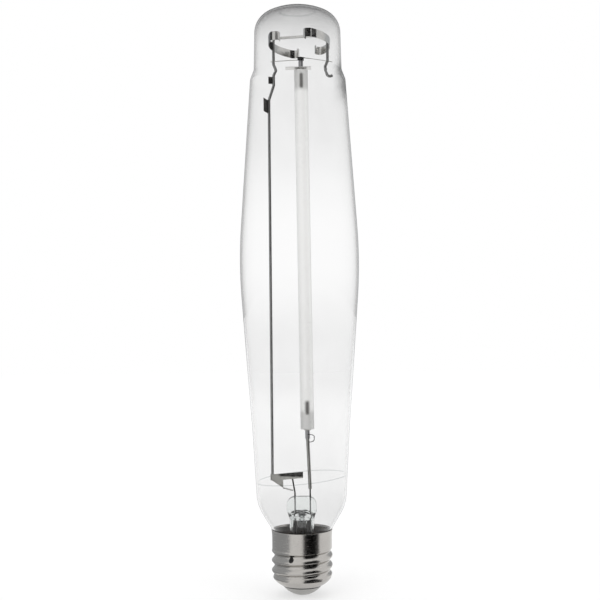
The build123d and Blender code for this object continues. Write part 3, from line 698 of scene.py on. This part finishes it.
def vapour_and_painted_blurs(tree, side, height):
    """The greyed ends of the arc tube, and in each a painted blur: the electrode's shade through the
    wall.
    """
    ends = (rise(tree, height, *GREYED_HEAD), rise(tree, height, *GREYED_FOOT))
    greyed = joined(tree, "MULTIPLY", joined(tree, "MAXIMUM", *ends), GREYED_SHARE)
    for middle, low, high in PAINTED_BLURS:
        offset = joined(tree, "SUBTRACT", side, middle * MM)
        away = add_node(tree, "ShaderNodeMath", {0: offset}, operation="ABSOLUTE")[0]
        blur = joined(
            tree,
            "MULTIPLY",
            rise(tree, away, *PAINTED_BLUR_SIDE),
            rise(tree, height, low, low + PAINTED_BLUR_FADE),
            rise(tree, height, high + PAINTED_BLUR_FADE, high),
        )
        greyed = joined(tree, "MAXIMUM", greyed, blur)
    return greyed


def painted_crossbar_highlight(tree, _side, height):
    """A painted highlight along the crossbar of the frame, at the top."""
    return rise(tree, height, *PAINTED_CROSSBAR_HIGHLIGHT)


def wound_turns(tree, side, _height):
    """The turns of the cross wire around the feedthrough."""
    return within(tree, side, *WOUND_TURNS)


def dark_arm(tree, side, height):
    """The long arm of the lower bracket."""
    return joined(tree, "MULTIPLY", rise(tree, side, *ARM_SIDE), rise(tree, height, *ARM_HEIGHT))


def painted_curl_reflections(tree, side, _height):
    """Painted dark reflections in the tight curls of both leaf springs."""
    return joined(tree, "MAXIMUM", *(within(tree, side, *curl) for curl in CURL_REFLECTIONS))


FINISHES = {
    # Translucent alumina, sintered and unpolished: milky white, its ends greyed by the metal that
    # has settled there, with painted dark blurs where the electrodes' shade shows through the wall
    "sintered_translucent_alumina": dict(
        colour="alumina", roughness=0.3, grain=0.6, depth=0.002, spread=0.015,
        shade=("vapour_and_blur_grey", vapour_and_painted_blurs, 0.5), **{"IOR": 1.76, "Transmission Weight": 0.1},
    ),
    # Sealing glass, melted to a smooth greyish fillet
    "fused_sealing_frit": dict(colour="frit", roughness=0.25, grain=0.5, depth=0.01, spread=0.06),
    # Nickel-plated brass, rolled: satin, with fine lines around it from the rolling
    "rolled_nickel_plated_brass": dict(
        colour="cap", roughness=0.24, grain=1.4, depth=0.014, spread=0.05,
        stretch=(0.25, 0.25, 3.0), Metallic=1.0,
    ),
    # Nickel-plated brass, pressed and handled: duller than the shell, with a cloudy tone
    "pressed_nickel_plated_brass": dict(
        colour="contact", roughness=0.34, grain=0.9, depth=0.008, spread=0.08, Metallic=1.0
    ),
    # Vitrified black glass, run in hot: a glossy dark ring
    "fired_black_glass": dict(colour="insulator", roughness=0.12, grain=2.0, depth=0.03, spread=0.2),
    # Tin solder, melted and frozen: bright and a little lumpy
    "melted_tin_solder": dict(
        colour="solder", roughness=0.3, grain=1.1, depth=0.06, spread=0.1, Metallic=1.0
    ),
    # Weld of the side wire, burnt in its flux: a black, half glossy drop
    "burnt_side_weld": dict(colour="weld", roughness=0.6, grain=0.8, depth=0.04, spread=0.3),
    # Cured basing cement: matt brown-grey with a sandy grain
    "cured_basing_cement": dict(colour="cement", roughness=0.9, grain=1.6, depth=0.2, spread=0.95),
    # Drawn steel rod with nickel plating: satin, with drawing lines along it, a painted highlight at
    # the top
    "drawn_nickel_plated_steel": dict(
        colour="rod", roughness=0.3, grain=0.5, depth=0.004, spread=0.14,
        stretch=(1, 1, 0.12), shade=("spring", painted_crossbar_highlight, 3.0), Metallic=1.0,
    ),
    # Nickel tube, drawn and cleaned: a soft grey gloss
    "drawn_satin_nickel": dict(
        colour="nickel", roughness=0.32, grain=0.4, depth=0.004, spread=0.12,
        stretch=(1, 1, 0.3), Metallic=1.0,
    ),
    # Nickel wire that has been through the sealing flame: dark, with a dull gloss
    "flame_darkened_nickel": dict(
        colour="fired_nickel", roughness=0.34, grain=0.4, depth=0.004, spread=0.3,
        stretch=(1, 1, 0.3), Metallic=1.0,
    ),
    # Nickel wire, drawn: grey, and darker where it is wound round the feedthrough
    "drawn_nickel_black_where_hot": dict(
        colour="nickel", roughness=0.32, grain=0.4, depth=0.004, spread=0.12,
        shade=("dark_metal", wound_turns, 3.0), Metallic=1.0,
    ),
    # Nickel strip, blanked and folded: grey, its long arm darker and mottled
    "folded_blotched_nickel": dict(
        colour="nickel", roughness=0.32, grain=0.7, depth=0.01, spread=0.3,
        shade=("dark_metal", dark_arm, 3.0), Metallic=1.0,
    ),
    # Stainless spring strip, cold rolled: streaks along the rolling, painted dark reflections in its
    # curls
    "rolled_stainless_strip": dict(
        colour="spring", roughness=0.24, grain=0.5, depth=0.003, spread=0.12,
        stretch=(0.3, 0.3, 2.0), shade=("dark_metal", painted_curl_reflections, 3.0), Metallic=1.0,
    ),
    # Nickel strap, bright annealed: pale, with a soft gloss
    "bright_annealed_strap": dict(
        colour="spring", roughness=0.3, grain=0.5, depth=0.003, spread=0.08, Metallic=1.0
    ),
    # Steel strip with a pressed getter powder: dull, grainy and dark
    "powder_filled_getter_strip": dict(
        colour="getter", roughness=0.5, grain=0.8, depth=0.02, spread=0.7, Metallic=0.7
    ),
    # Niobium tube, drawn: a dull warm grey
    "drawn_satin_niobium": dict(
        colour="niobium", roughness=0.4, grain=0.5, depth=0.004, spread=0.08, Metallic=1.0
    ),
    # Tungsten wire, drawn and fired in hydrogen: dark grey metal
    "fired_tungsten_wire": dict(
        colour="tungsten", roughness=0.42, grain=0.3, depth=0.005, spread=0.1, Metallic=1.0
    ),
}


def made_of(colours, name):
    """One of the finishes above as a material, in the lamp's colours."""
    return grained(name, colours, **FINISHES[name])


def card_face(name, brightness):
    """The plain face of a card that the reflections of metal show, and those of glass do not."""
    material, tree, _place = new_material(name)
    cool_grey = (brightness, brightness * 1.03, brightness * 1.06, 1)
    face = add_node(tree, "ShaderNodeEmission", {"Color": cool_grey})[0]
    sharp = add_node(tree, "ShaderNodeLightPath")["Is Singular Ray"]
    gone = add_node(tree, "ShaderNodeBsdfTransparent")[0]
    seen = add_node(tree, "ShaderNodeMixShader", {0: sharp, 1: face, 2: gone})[0]
    add_node(tree, "ShaderNodeOutputMaterial", {"Surface": seen})
    return material


def along(foot, direction):
    """The matrix that sets a piece turned about Z on a foot in mm, its Z along a direction."""
    return Matrix.Translation(foot * MM) @ direction.to_track_quat("Z", "Y").to_matrix().to_4x4()


def ends_of_arc_tube():
    """Both ends of the arc tube: name, foot, direction inwards, length of the feed outside."""
    up = (ARC_HEAD - ARC_FOOT).normalized()
    return (("lower", ARC_FOOT, up, 6.3), ("upper", ARC_HEAD, -up, 7.6))


def arc(centre, radius, start, end, steps):
    """Points of an arc in the outline's plane, angles in degrees."""
    return [
        (
            centre[0] + radius * math.cos(math.radians(start + (end - start) * i / steps)),
            centre[1] + radius * math.sin(math.radians(start + (end - start) * i / steps)),
        )
        for i in range(steps + 1)
    ]


def crown_outline():
    """The knuckle and the crown of the bulb, tangent to its side and to each other."""
    crown_radius, knuckle_radius, top = 47.09, 14.0, 381.0
    side_foot, side_head = Vector((28.45, 339.8)), Vector((27.7, 371.99))
    crown_centre = Vector((0.0, top - crown_radius))
    run = (side_head - side_foot).normalized()
    inward = Vector((-run.y, run.x))
    start = side_foot + inward * knuckle_radius - crown_centre
    reach = crown_radius - knuckle_radius
    along_run = -start.dot(run) + math.sqrt(start.dot(run) ** 2 - start.length_squared + reach**2)
    knuckle_centre = crown_centre + start + run * along_run
    from_angle = math.degrees(math.atan2(-inward.y, -inward.x))
    out = knuckle_centre - crown_centre
    to_angle = math.degrees(math.atan2(out.y, out.x))
    return arc(knuckle_centre, knuckle_radius, from_angle, to_angle, 14) + arc(
        crown_centre, crown_radius, to_angle, 90, 18
    )[1:]


class LampOperator(bpy.types.Operator):
    """Builds one group of the lamp's pieces."""

    bl_options = {"REGISTER", "UNDO"}

    def execute(self, context):
        self.build(context.scene.lamp_sizes, context.scene.lamp_colours)
        return {"FINISHED"}


class LAMP_OT_outer_bulb(LampOperator):
    """Turn the outer bulb from its outline and give it its wall"""

    bl_idname = "lamp.outer_bulb"
    bl_label = "Outer bulb"

    def build(self, sizes, colours):
        points = [
            (17.2, 29.0),
            (17.2, 38.9),
            (28.85, 58.6),
            (29.7, 75.0),
            (31.55, 107.0),
            (39.35, 215.3),
            (30.9, 333.6),
            (28.45, 339.8),
        ]
        bends = [0, 4, 27, 400, 400, 320, 5, 5]
        crown = crown_outline()
        bulb = turned(
            "outer_bulb_glass",
            bulb_glass(colours),
            points + crown,
            bends + [0] * len(crown),
            wall=sizes.bulb_wall,
            segments=sizes.round_segments,
        )
        hand_over(bulb, "outer_bulb")


class LAMP_OT_screw_cap(LampOperator):
    """Roll the threaded shell of the cap and set the weld of the side wire in it"""

    bl_idname = "lamp.screw_cap"
    bl_label = "Screw cap"

    def build(self, sizes, colours):
        low, high = CAP_THREAD
        nose = [(13.9, 7.0), (14.75, 7.45), (15.75, 8.15), (16.75, 8.98), (17.7, 9.9), (18.4, 10.8)]
        steps = 110
        rows = []
        for step in range(steps + 1):
            height = low + (high - low) * step / steps
            share = min(1.0, (high - height) / THREAD_RUNOUT)
            share = share * share * (3 - 2 * share)
            rows.append((COLLAR_RADIUS + (THREAD_MEAN - COLLAR_RADIUS) * share, height))
        lip = [(COLLAR_RADIUS, 37.4), (19.42, 39.4), (19.56, 41.0), (19.8, RIM_HEIGHT)]
        shell = turned(
            "threaded_shell",
            made_of(colours, "rolled_nickel_plated_brass"),
            nose + rows + lip,
            wall=sizes.shell_sheet,
            edge=0.12 * MM,
            segments=sizes.round_segments,
            thread_depth=sizes.thread_depth,
            thread_pitch=sizes.thread_pitch,
            thread_start=math.radians(THREAD_START),
            thread_low=low * MM,
            thread_high=high * MM,
            thread_run_out=THREAD_RUNOUT * MM,
        )
        hand_over(shell, "screw_shell")
        weld = self.side_weld(sizes, made_of(colours, "burnt_side_weld"))
        hand_over(weld, "side_weld")

    def side_weld(self, sizes, finish):
        """A drop of solder that lies on the thread, keyhole shaped: its head below, its neck above."""
        middle_angle, middle_height, head, neck, reach = 248.0, 25.8, 1.75, 1.0, 3.4
        rise_of_drop, sink_of_rim, foot_depth = 0.3, 0.12, 0.3
        pitch, depth = sizes.thread_pitch / MM, sizes.thread_depth / MM
        rings, around = 10, 48
        shape = bmesh.new()

        def point(across, up, swell):
            height = middle_height + up
            angle = middle_angle + math.degrees(across / COLLAR_RADIUS)
            crest = THREAD_START + 360 * height / pitch
            radius = THREAD_MEAN + depth / 2 * math.cos(math.radians(angle - crest)) + swell
            return shape.verts.new(polar(radius, angle, height) * MM)

        def edge(turn):
            """The keyhole's edge: a round head with a neck that runs up from it."""
            across, up = head * math.cos(turn), head * math.sin(turn)
            if up > 0 and abs(across) < neck:
                up = reach - (across / neck) ** 4 * 0.5
            return across, up

        outlines = []
        for ring in range(rings + 1):
            share = ring / rings
            swell = rise_of_drop * math.sqrt(max(0.0, 1 - share**4)) - sink_of_rim * share**8
            loop = []
            for step in range(around):
                across, up = edge(math.tau * step / around)
                loop.append(point(across * share, up * share, swell))
            outlines.append(loop)
        foot = [point(*edge(math.tau * step / around), -foot_depth) for step in range(around)]
        outlines.append(foot)
        centre = outlines.pop(0)[0]
        for step in range(around):
            after = (step + 1) % around
            shape.faces.new((centre, outlines[0][step], outlines[0][after]))
            for inner, outer in zip(outlines, outlines[1:]):
                shape.faces.new((inner[step], outer[step], outer[after], inner[after]))
        shape.faces.new(list(reversed(foot)))
        bmesh.ops.delete(shape, geom=[v for v in shape.verts if not v.link_faces], context="VERTS")
        bmesh.ops.remove_doubles(shape, verts=shape.verts, dist=1e-6)
        for face in shape.faces:
            face.smooth = True
        return add_shape("side_wire_weld", shape, finish)


class LAMP_OT_cap_bottom(LampOperator):
    """Turn the black glass insulator, the centre contact and its drop of solder"""

    bl_idname = "lamp.cap_bottom"
    bl_label = "Cap bottom"

    def build(self, sizes, colours):
        insulator = turned(
            "insulator_glass_plug",
            made_of(colours, "fired_black_glass"),
            [(1.5, 6.19), (12.5, 6.19), (13.45, 7.4), (15.7, 8.7), (17.6, 10.5), (18.35, 11.4),
             (17.45, 13.0), (1.5, 13.0), (1.5, 6.19)],
            [0, 0.3, 0.5, 3, 3, 0.4, 0.4, 0.3, 0],
            segments=sizes.round_segments,
        )
        hand_over(insulator, "insulator")
        outer, inner = 16.0, 15.4
        face = arc((0, outer), outer, -90 + 7.9, -90 + 51.95, 26)
        back = arc((0, outer), inner, -90 + 50.2, -90 + 8.2, 20)
        contact = turned(
            "centre_contact_disc",
            made_of(colours, "pressed_nickel_plated_brass"),
            [back[-1], *face, *back],
            segments=sizes.round_segments,
        )
        hand_over(contact, "centre_contact")
        drop = turned(
            "contact_solder_drop",
            made_of(colours, "melted_tin_solder"),
            [(0, 0.0), (1.7, 0.0), (2.15, 0.22), (2.15, 0.9), (1.3, 1.36), (0.55, 1.55),
             (0.55, 0.56), (0, 0.54)],
            [0, 0.3, 0.2, 0.2, 0.5, 0.1, 0, 0],
            segments=48,
        )
        hand_over(drop, "contact_solder")


class LAMP_OT_cement(LampOperator):
    """Turn the cement between the cap's collar and the neck of the bulb"""

    bl_idname = "lamp.basing_cement"
    bl_label = "Basing cement"

    def build(self, sizes, colours):
        ring = turned(
            "basing_cement_ring",
            made_of(colours, "cured_basing_cement"),
            [(17.25, 31.4), (18.9, 31.4), (18.9, 41.0), (18.54, 41.0), (17.25, 36.9), (17.25, 31.4)],
            [0, 0.2, 0.1, 0.3, 2, 0],
            segments=sizes.round_segments,
        )
        hand_over(ring, "basing_cement")


class LAMP_OT_stem(LampOperator):
    """Smooth the pressed stem and turn the exhaust tube in it"""

    bl_idname = "lamp.stem"
    bl_label = "Stem"

    def build(self, sizes, colours):
        glass = stem_glass(colours)
        hand_over(dressed("stem_tube", glass, crease=38), "stem_tube")
        exhaust = turned(
            "exhaust_tube_glass",
            glass,
            [(0, 17.0), (1.0, 17.0), (3.0, 21.0), (3.0, 50.5), (2.0, 50.5), (2.0, 21.0), (0, 19.0)],
            [0, 0.5, 2, 0.2, 0.2, 1.5, 0],
            segments=48,
        )
        hand_over(exhaust, "exhaust_tube")


class LAMP_OT_lead_wires(LampOperator):
    """Bend both lead wires, and set the support tube and the bonding loop on the right one"""

    bl_idname = "lamp.lead_wires"
    bl_label = "Lead wires"

    def build(self, sizes, colours):
        nickel = made_of(colours, "drawn_satin_nickel")
        fired = made_of(colours, "flame_darkened_nickel")
        left = wire(
            "left_lead",
            fired,
            [(-6.25, 0, 77.6), (-4.3, 0, 66.0), (-4.3, 0, 25.0), polar(16.81, 248, 26.8)],
            sizes.lead_radius,
            bends=3.0,
        )
        hand_over(left, "left_lead_wire")
        foot = Vector((5.6, 0, 68.3))
        head = Vector((4.24, 0, 102.4))
        up = (head - foot).normalized()
        right = wire(
            "right_lead",
            fired,
            [foot + up * 5.7, foot, (5.6, 0, 18.5), (0, 0, 14.0), (0, 0, 0.96)],
            sizes.lead_radius,
            bends=3.0,
        )
        hand_over(right, "right_lead_wire")
        length = (head - foot).length + 1.5
        support = turned(
            "support_sleeve",
            nickel,
            [(0.6, 0), (1.1, 0), (1.1, length), (0.6, length), (0.6, 0)],
            [0, 0.15, 0.15, 0.1, 0],
            place=along(foot, up),
            segments=32,
        )
        hand_over(support, "support_tube")
        hand_over(dressed("bonding_loop", fired, crease=60), "bonding_loop")


class LAMP_OT_arc_tube(LampOperator):
    """Turn the arc tube with its plugs, seals and feedthroughs"""

    bl_idname = "lamp.arc_tube"
    bl_label = "Arc tube"

    def build(self, sizes, colours):
        alumina = made_of(colours, "sintered_translucent_alumina")
        frit = made_of(colours, "fused_sealing_frit")
        niobium = made_of(colours, "drawn_satin_niobium")
        ends = ends_of_arc_tube()
        length = (ARC_HEAD - ARC_FOOT).length
        tube = turned(
            "arc_tube_alumina",
            alumina,
            [(3.6, 0), (4.4, 0), (4.4, length), (3.6, length), (3.6, 0)],
            [0, 0.25, 0.25, 0.15, 0],
            place=along(ARC_FOOT, ends[0][2]),
            segments=64,
        )
        hand_over(tube, "arc_tube")
        for name, foot, inward, outside in ends:
            place = along(foot, inward)
            bore, depth = FEED_RADIUS + FEED_PLAY, PLUG_DEPTH
            plug = turned(
                name + "_plug_alumina",
                alumina,
                [(bore, 0), (3.55, 0), (3.55, depth), (bore, depth), (bore, 0)],
                [0, 0.15, 0.2, 0.1, 0],
                place=place,
                segments=64,
            )
            hand_over(plug, name + "_end_plug")
            seal = turned(
                name + "_seal_frit",
                frit,
                [(bore, -0.8), (2.0, -0.8), (2.6, 0), (bore, 0), (bore, -0.8)],
                [0, 0.35, 0.1, 0, 0],
                place=place,
                segments=48,
            )
            hand_over(seal, name + "_seal_ring")
            hollow, top = FEED_RADIUS - FEED_WALL, PLUG_DEPTH + 0.9
            feed = turned(
                name + "_feed_niobium",
                niobium,
                [(hollow, -outside), (FEED_RADIUS, -outside), (FEED_RADIUS, top), (0.55, top),
                 (0.55, top - 1.4), (hollow, top - 1.4), (hollow, -outside)],
                [0, 0.1, 0.3, 0.1, 0, 0, 0],
                place=place,
                segments=48,
            )
            hand_over(feed, name + "_niobium_tube")


class LAMP_OT_electrodes(LampOperator):
    """Turn the electrodes and wind two layers of wire on each"""

    bl_idname = "lamp.electrodes"
    bl_label = "Electrodes"

    def build(self, sizes, colours):
        tungsten = made_of(colours, "fired_tungsten_wire")
        wire_radius = sizes.winding_wire_radius
        low, high, rod_radius, layer_step = 11.1, 15.5, 0.52, 1.86
        for name, foot, inward, _outside in ends_of_arc_tube():
            place = along(foot, inward)
            rod = turned(
                name + "_electrode_rod",
                tungsten,
                [(0, 4.9), (0.5, 4.9), (0.5, 16.2), (0.3, 16.4), (0, 16.4)],
                [0, 0, 0.1, 0.1, 0],
                place=place,
                segments=32,
            )
            hand_over(rod, name + "_electrode")
            shape = bmesh.new()
            for layer, turns in enumerate((7.5, 7.0)):
                coil = new_piece("winding_layer")
                grow(
                    coil,
                    "wound_wire",
                    tungsten,
                    wire_radius=wire_radius,
                    coil_radius=rod_radius * MM + wire_radius * (1 + layer_step * layer),
                    coil_height=(high - low) * MM - 2 * wire_radius,
                    turns=turns,
                )
                settle(coil)
                coil.data.transform(place @ Matrix.Translation((0, 0, low * MM + wire_radius)))
                shape.from_mesh(coil.data)
                bpy.data.objects.remove(coil)
            winding = add_shape(name + "_winding", shape, tungsten)
            hand_over(winding, name + "_electrode_coil")


class LAMP_OT_frame(LampOperator):
    """Bend the frame's rod, and lay the cross wire from leg to leg around the feedthrough"""

    bl_idname = "lamp.frame"
    bl_label = "Frame"

    def build(self, sizes, colours):
        left, left_top, right, back, front = -18.9, -15.7, 19.3, 4, -3.8
        rod = wire(
            "frame_rod_bent",
            made_of(colours, "drawn_nickel_plated_steel"),
            [
                (left, back, 73.6),
                (left, back, 321.5),
                (left_top, back, 331),
                (left_top, back, 337.5),
                (left_top + 1.6, back, 341),
                (left_top, back, 344.5),
                (left_top, back, 361.7),
                (right, front, 361.7),
                (right, front, 344.5),
                (right - 1.6, front, 341),
                (right, front, 334.4),
                (right + 3.2, front, 335.47),
            ],
            sizes.rod_radius,
            bends=2.0,
            sides=28,
        )
        hand_over(rod, "frame_rod")
        clearance, start_height, climb, left_tail, right_tail = 0.05, 5.1, 2.4, 1.8, 3.0
        radius = FEED_RADIUS + sizes.cross_wire_radius / MM + clearance
        gap = sizes.rod_radius / MM + sizes.cross_wire_radius / MM + clearance
        up = (ARC_HEAD - ARC_FOOT).normalized()
        centre = ARC_HEAD + up * start_height
        welds = (
            Vector((left_top, back - gap, ARC_HEAD.z + 5.3)),
            Vector((right, front - gap, ARC_HEAD.z + 3.8)),
        )
        angles = []
        for weld, side in zip(welds, (1, -1)):
            run = weld - centre
            half = math.degrees(math.acos(radius / math.hypot(run.x, run.y)))
            angles.append(math.degrees(math.atan2(run.y, run.x)) + side * half)
        whole_turns, steps = 3, 84
        sweep = whole_turns * 360 + (angles[1] - angles[0]) % 360
        wrap = [
            centre + polar(radius, angles[0] + sweep * i / steps) + up * (climb * i / steps)
            for i in range(steps + 1)
        ]
        left_end = welds[0] + (welds[0] - wrap[0]).normalized() * left_tail
        right_end = welds[1] + (welds[1] - wrap[-1]).normalized() * right_tail
        cross = wire(
            "cross_wire_wound",
            made_of(colours, "drawn_nickel_black_where_hot"),
            [left_end, *wrap, right_end],
            sizes.cross_wire_radius,
            sides=12,
        )
        hand_over(cross, "cross_wire")


class LAMP_OT_strips(LampOperator):
    """Round the edges of the leaf springs, the bracket, the strap and the getter plates"""

    bl_idname = "lamp.strips"
    bl_label = "Springs, bracket and getters"

    def build(self, sizes, colours):
        spring = made_of(colours, "rolled_stainless_strip")
        getter = made_of(colours, "powder_filled_getter_strip")
        for node, slot, finish in (
            ("left_leaf_spring", "spring_steel", spring),
            ("right_leaf_spring", "spring_steel", spring),
            ("lower_bracket", "nickel", made_of(colours, "folded_blotched_nickel")),
            ("end_strap", "nickel", made_of(colours, "bright_annealed_strap")),
            ("lower_getter_plate", "getter_steel", getter),
            ("upper_getter_plate", "getter_steel", getter),
        ):
            hand_over(dressed(node, finish, edge=sizes.edge_round), node)


class LAMP_OT_studio(LampOperator):
    """Set the floor, the surround, the cards for reflections, the lamps and the camera"""

    bl_idname = "lamp.studio"
    bl_label = "Studio"

    def build(self, sizes, colours):
        self.surround()
        self.floor()
        for name, brightness, radius, start, end, low, high in (
            ("low_card", 0.004, (0.028, 0.30), 4, 64, 0.002, 0.002),
            ("grey_low_card", 0.42, (0.028, 0.40), -178, -46, 0.002, 0.002),
            ("front_card", 0.004, (0.30, 0.30), 4, 64, 0.002, 0.45),
            ("left_card", 0.5, (0.45, 0.45), -170, -68, 0.002, 0.75),
            ("right_card", 0.5, (0.45, 0.45), 125, 170, 0.002, 0.75),
        ):
            self.card(name, brightness, radius, start, end, low, high)
        self.light("key_lamp", (-0.9, -1.3, 1.3), 1.1, 7.0)
        self.light("fill_lamp", (1.3, -1.0, 0.8), 1.2, 4.0)
        self.light("back_lamp", (0.5, 1.4, 1.2), 1.2, 4.0)
        self.camera()

    def surround(self):
        """White to the eye and through glass, a little dimmer in mirror images, soft on the rest."""
        world = bpy.data.worlds.new("studio_surround")
        bpy.context.scene.world = world
        world.use_nodes = True
        tree = world.node_tree
        tree.nodes.clear()
        ray = add_node(tree, "ShaderNodeLightPath")
        # Metal inside the bulb, met after the glass, mirrors a room that is a little dimmer
        deep = joined(tree, "GREATER_THAN", ray["Ray Depth"], RAYS_BEFORE_METAL)
        blurred = joined(tree, "SUBTRACT", ray["Is Reflection Ray"], ray["Is Singular Ray"])
        in_metal = joined(tree, "MULTIPLY", deep, joined(tree, "MAXIMUM", blurred, 0.0))
        # Glass mirrors one that is dimmed twice as much, so that it adds little light of its own
        in_glass = joined(tree, "MULTIPLY", ray["Is Reflection Ray"], ray["Is Singular Ray"], 2.0)
        dimmed = joined(tree, "ADD", in_metal, in_glass)
        white = add_node(
            tree,
            "ShaderNodeMapRange",
            {"Value": dimmed, "From Max": 2.0, "To Min": 1.0, "To Max": ROOM_IN_GLASS},
        )[0]
        strength = add_node(
            tree,
            "ShaderNodeMapRange",
            {"Value": self.seen_directly(tree), "To Min": 1.0, "To Max": white},
        )[0]
        light = add_node(tree, "ShaderNodeBackground", {"Color": (1, 1, 1, 1), "Strength": strength})[0]
        add_node(tree, "ShaderNodeOutputWorld", {"Surface": light})

    def seen_directly(self, tree):
        """1 for rays of the camera, of reflections and through glass, else 0."""
        ray = add_node(tree, "ShaderNodeLightPath")
        kinds = ("Is Camera Ray", "Is Glossy Ray", "Is Transmission Ray")
        return joined(tree, "MAXIMUM", *(ray[kind] for kind in kinds))

    def floor(self):
        """A plain pale floor that keeps the lamp's shadow."""
        # Matt white paper with fibres of 3 mm: a glow of its own, so that it looks white, and a
        # part that the lamps light, for the shadow
        material, tree, place = new_material("matt_white_paper")
        fibres = add_node(
            tree, "ShaderNodeTexNoise", {"Vector": place, "Scale": 1 / (3 * MM), "Detail": 4.0}
        )["Fac"]
        white = laid_over(tree, fibres, (0.40, 0.40, 0.40, 1), (0.42, 0.42, 0.42))
        lit = add_node(tree, "ShaderNodeBsdfDiffuse", {"Color": white})[0]
        away = add_node(tree, "ShaderNodeVectorMath", {0: place}, operation="LENGTH")["Value"]
        own = blended(tree, rise(tree, away, *FLOOR_FADE), FLOOR_NEAR, FLOOR_FAR)
        strength = joined(tree, "MULTIPLY", self.seen_directly(tree), own)
        glow = add_node(tree, "ShaderNodeEmission", {"Strength": strength})[0]
        both = add_node(tree, "ShaderNodeAddShader", {0: lit, 1: glow})[0]
        add_node(tree, "ShaderNodeOutputMaterial", {"Surface": both})
        mesh = bpy.data.meshes.new("floor")
        corners = [Vector((x, y, 0)) * FLOOR_REACH for x, y in ((-1, -1), (1, -1), (1, 1), (-1, 1))]
        mesh.from_pydata(corners, [], [(0, 1, 2, 3)])
        add_object("floor", mesh, material)

    def card(self, name, brightness, radius, start, end, low, high):
        """A card round the lamp for reflections: its angles run from the front to the right."""
        steps = 24
        verts = []
        for step in range(steps + 1):
            angle = start + (end - start) * step / steps - 90
            verts += [polar(radius[0], angle, low), polar(radius[1], angle, high)]
        mesh = bpy.data.meshes.new(name)
        mesh.from_pydata(verts, [], [(i, i + 1, i + 3, i + 2) for i in range(0, 2 * steps, 2)])
        card = add_object(name, mesh, card_face(name + "_face", brightness))
        hide_from(card, "camera", "diffuse", "transmission", "shadow", "volume_scatter")

    def light(self, name, place, size, power):
        """A soft square light that faces the middle of the lamp."""
        light = bpy.data.lights.new(name, "AREA")
        light.size = size
        light.energy = power
        box = add_object(name, light)
        box.location = place
        aim = Vector((0, 0, 0.19)) - Vector(place)
        box.rotation_euler = aim.to_track_quat("-Z", "Y").to_euler()
        hide_from(box, "camera", "transmission", "glossy")

    def camera(self):
        """The photograph's view: level, from the front, with the lamp's foot at its lower edge."""
        lens = bpy.data.cameras.new("photo_camera")
        lens.sensor_width = 36.0
        lens.lens = 63.84
        lens.shift_y = 0.0367
        lens.clip_start = 0.01
        camera = add_object("photo_camera", lens)
        camera.location = (0, -0.6905, 0.1766)
        camera.rotation_euler = (math.radians(90), math.radians(0.54), 0)
        bpy.context.scene.camera = camera
        bpy.context.scene.view_settings.view_transform = "Standard"


STEPS = (
    LAMP_OT_outer_bulb,
    LAMP_OT_screw_cap,
    LAMP_OT_cap_bottom,
    LAMP_OT_cement,
    LAMP_OT_stem,
    LAMP_OT_lead_wires,
    LAMP_OT_arc_tube,
    LAMP_OT_electrodes,
    LAMP_OT_frame,
    LAMP_OT_strips,
    LAMP_OT_studio,
)


class LAMP_PT_sidebar(bpy.types.Panel):
    """The lamp's steps, sizes and colours in the sidebar of the 3D view"""

    bl_label = "Sodium lamp"
    bl_space_type = "VIEW_3D"
    bl_region_type = "UI"
    bl_category = "Lamp"

    def draw(self, context):
        for step in STEPS:
            self.layout.operator(step.bl_idname)
        for group in (context.scene.lamp_sizes, context.scene.lamp_colours):
            for name in group.__annotations__:
                self.layout.prop(group, name)


CLASSES = (LampSizes, LampColours, *STEPS, LAMP_PT_sidebar)


def register():
    for each in CLASSES:
        bpy.utils.register_class(each)
    bpy.types.Scene.lamp_sizes = bpy.props.PointerProperty(type=LampSizes)
    bpy.types.Scene.lamp_colours = bpy.props.PointerProperty(type=LampColours)


def unregister():
    del bpy.types.Scene.lamp_colours
    del bpy.types.Scene.lamp_sizes
    for each in reversed(CLASSES):
        bpy.utils.unregister_class(each)


def main():
    register()
    for step in STEPS:
        group, name = step.bl_idname.split(".")
        getattr(getattr(bpy.ops, group), name)()


if __name__ == "__main__":
    main()
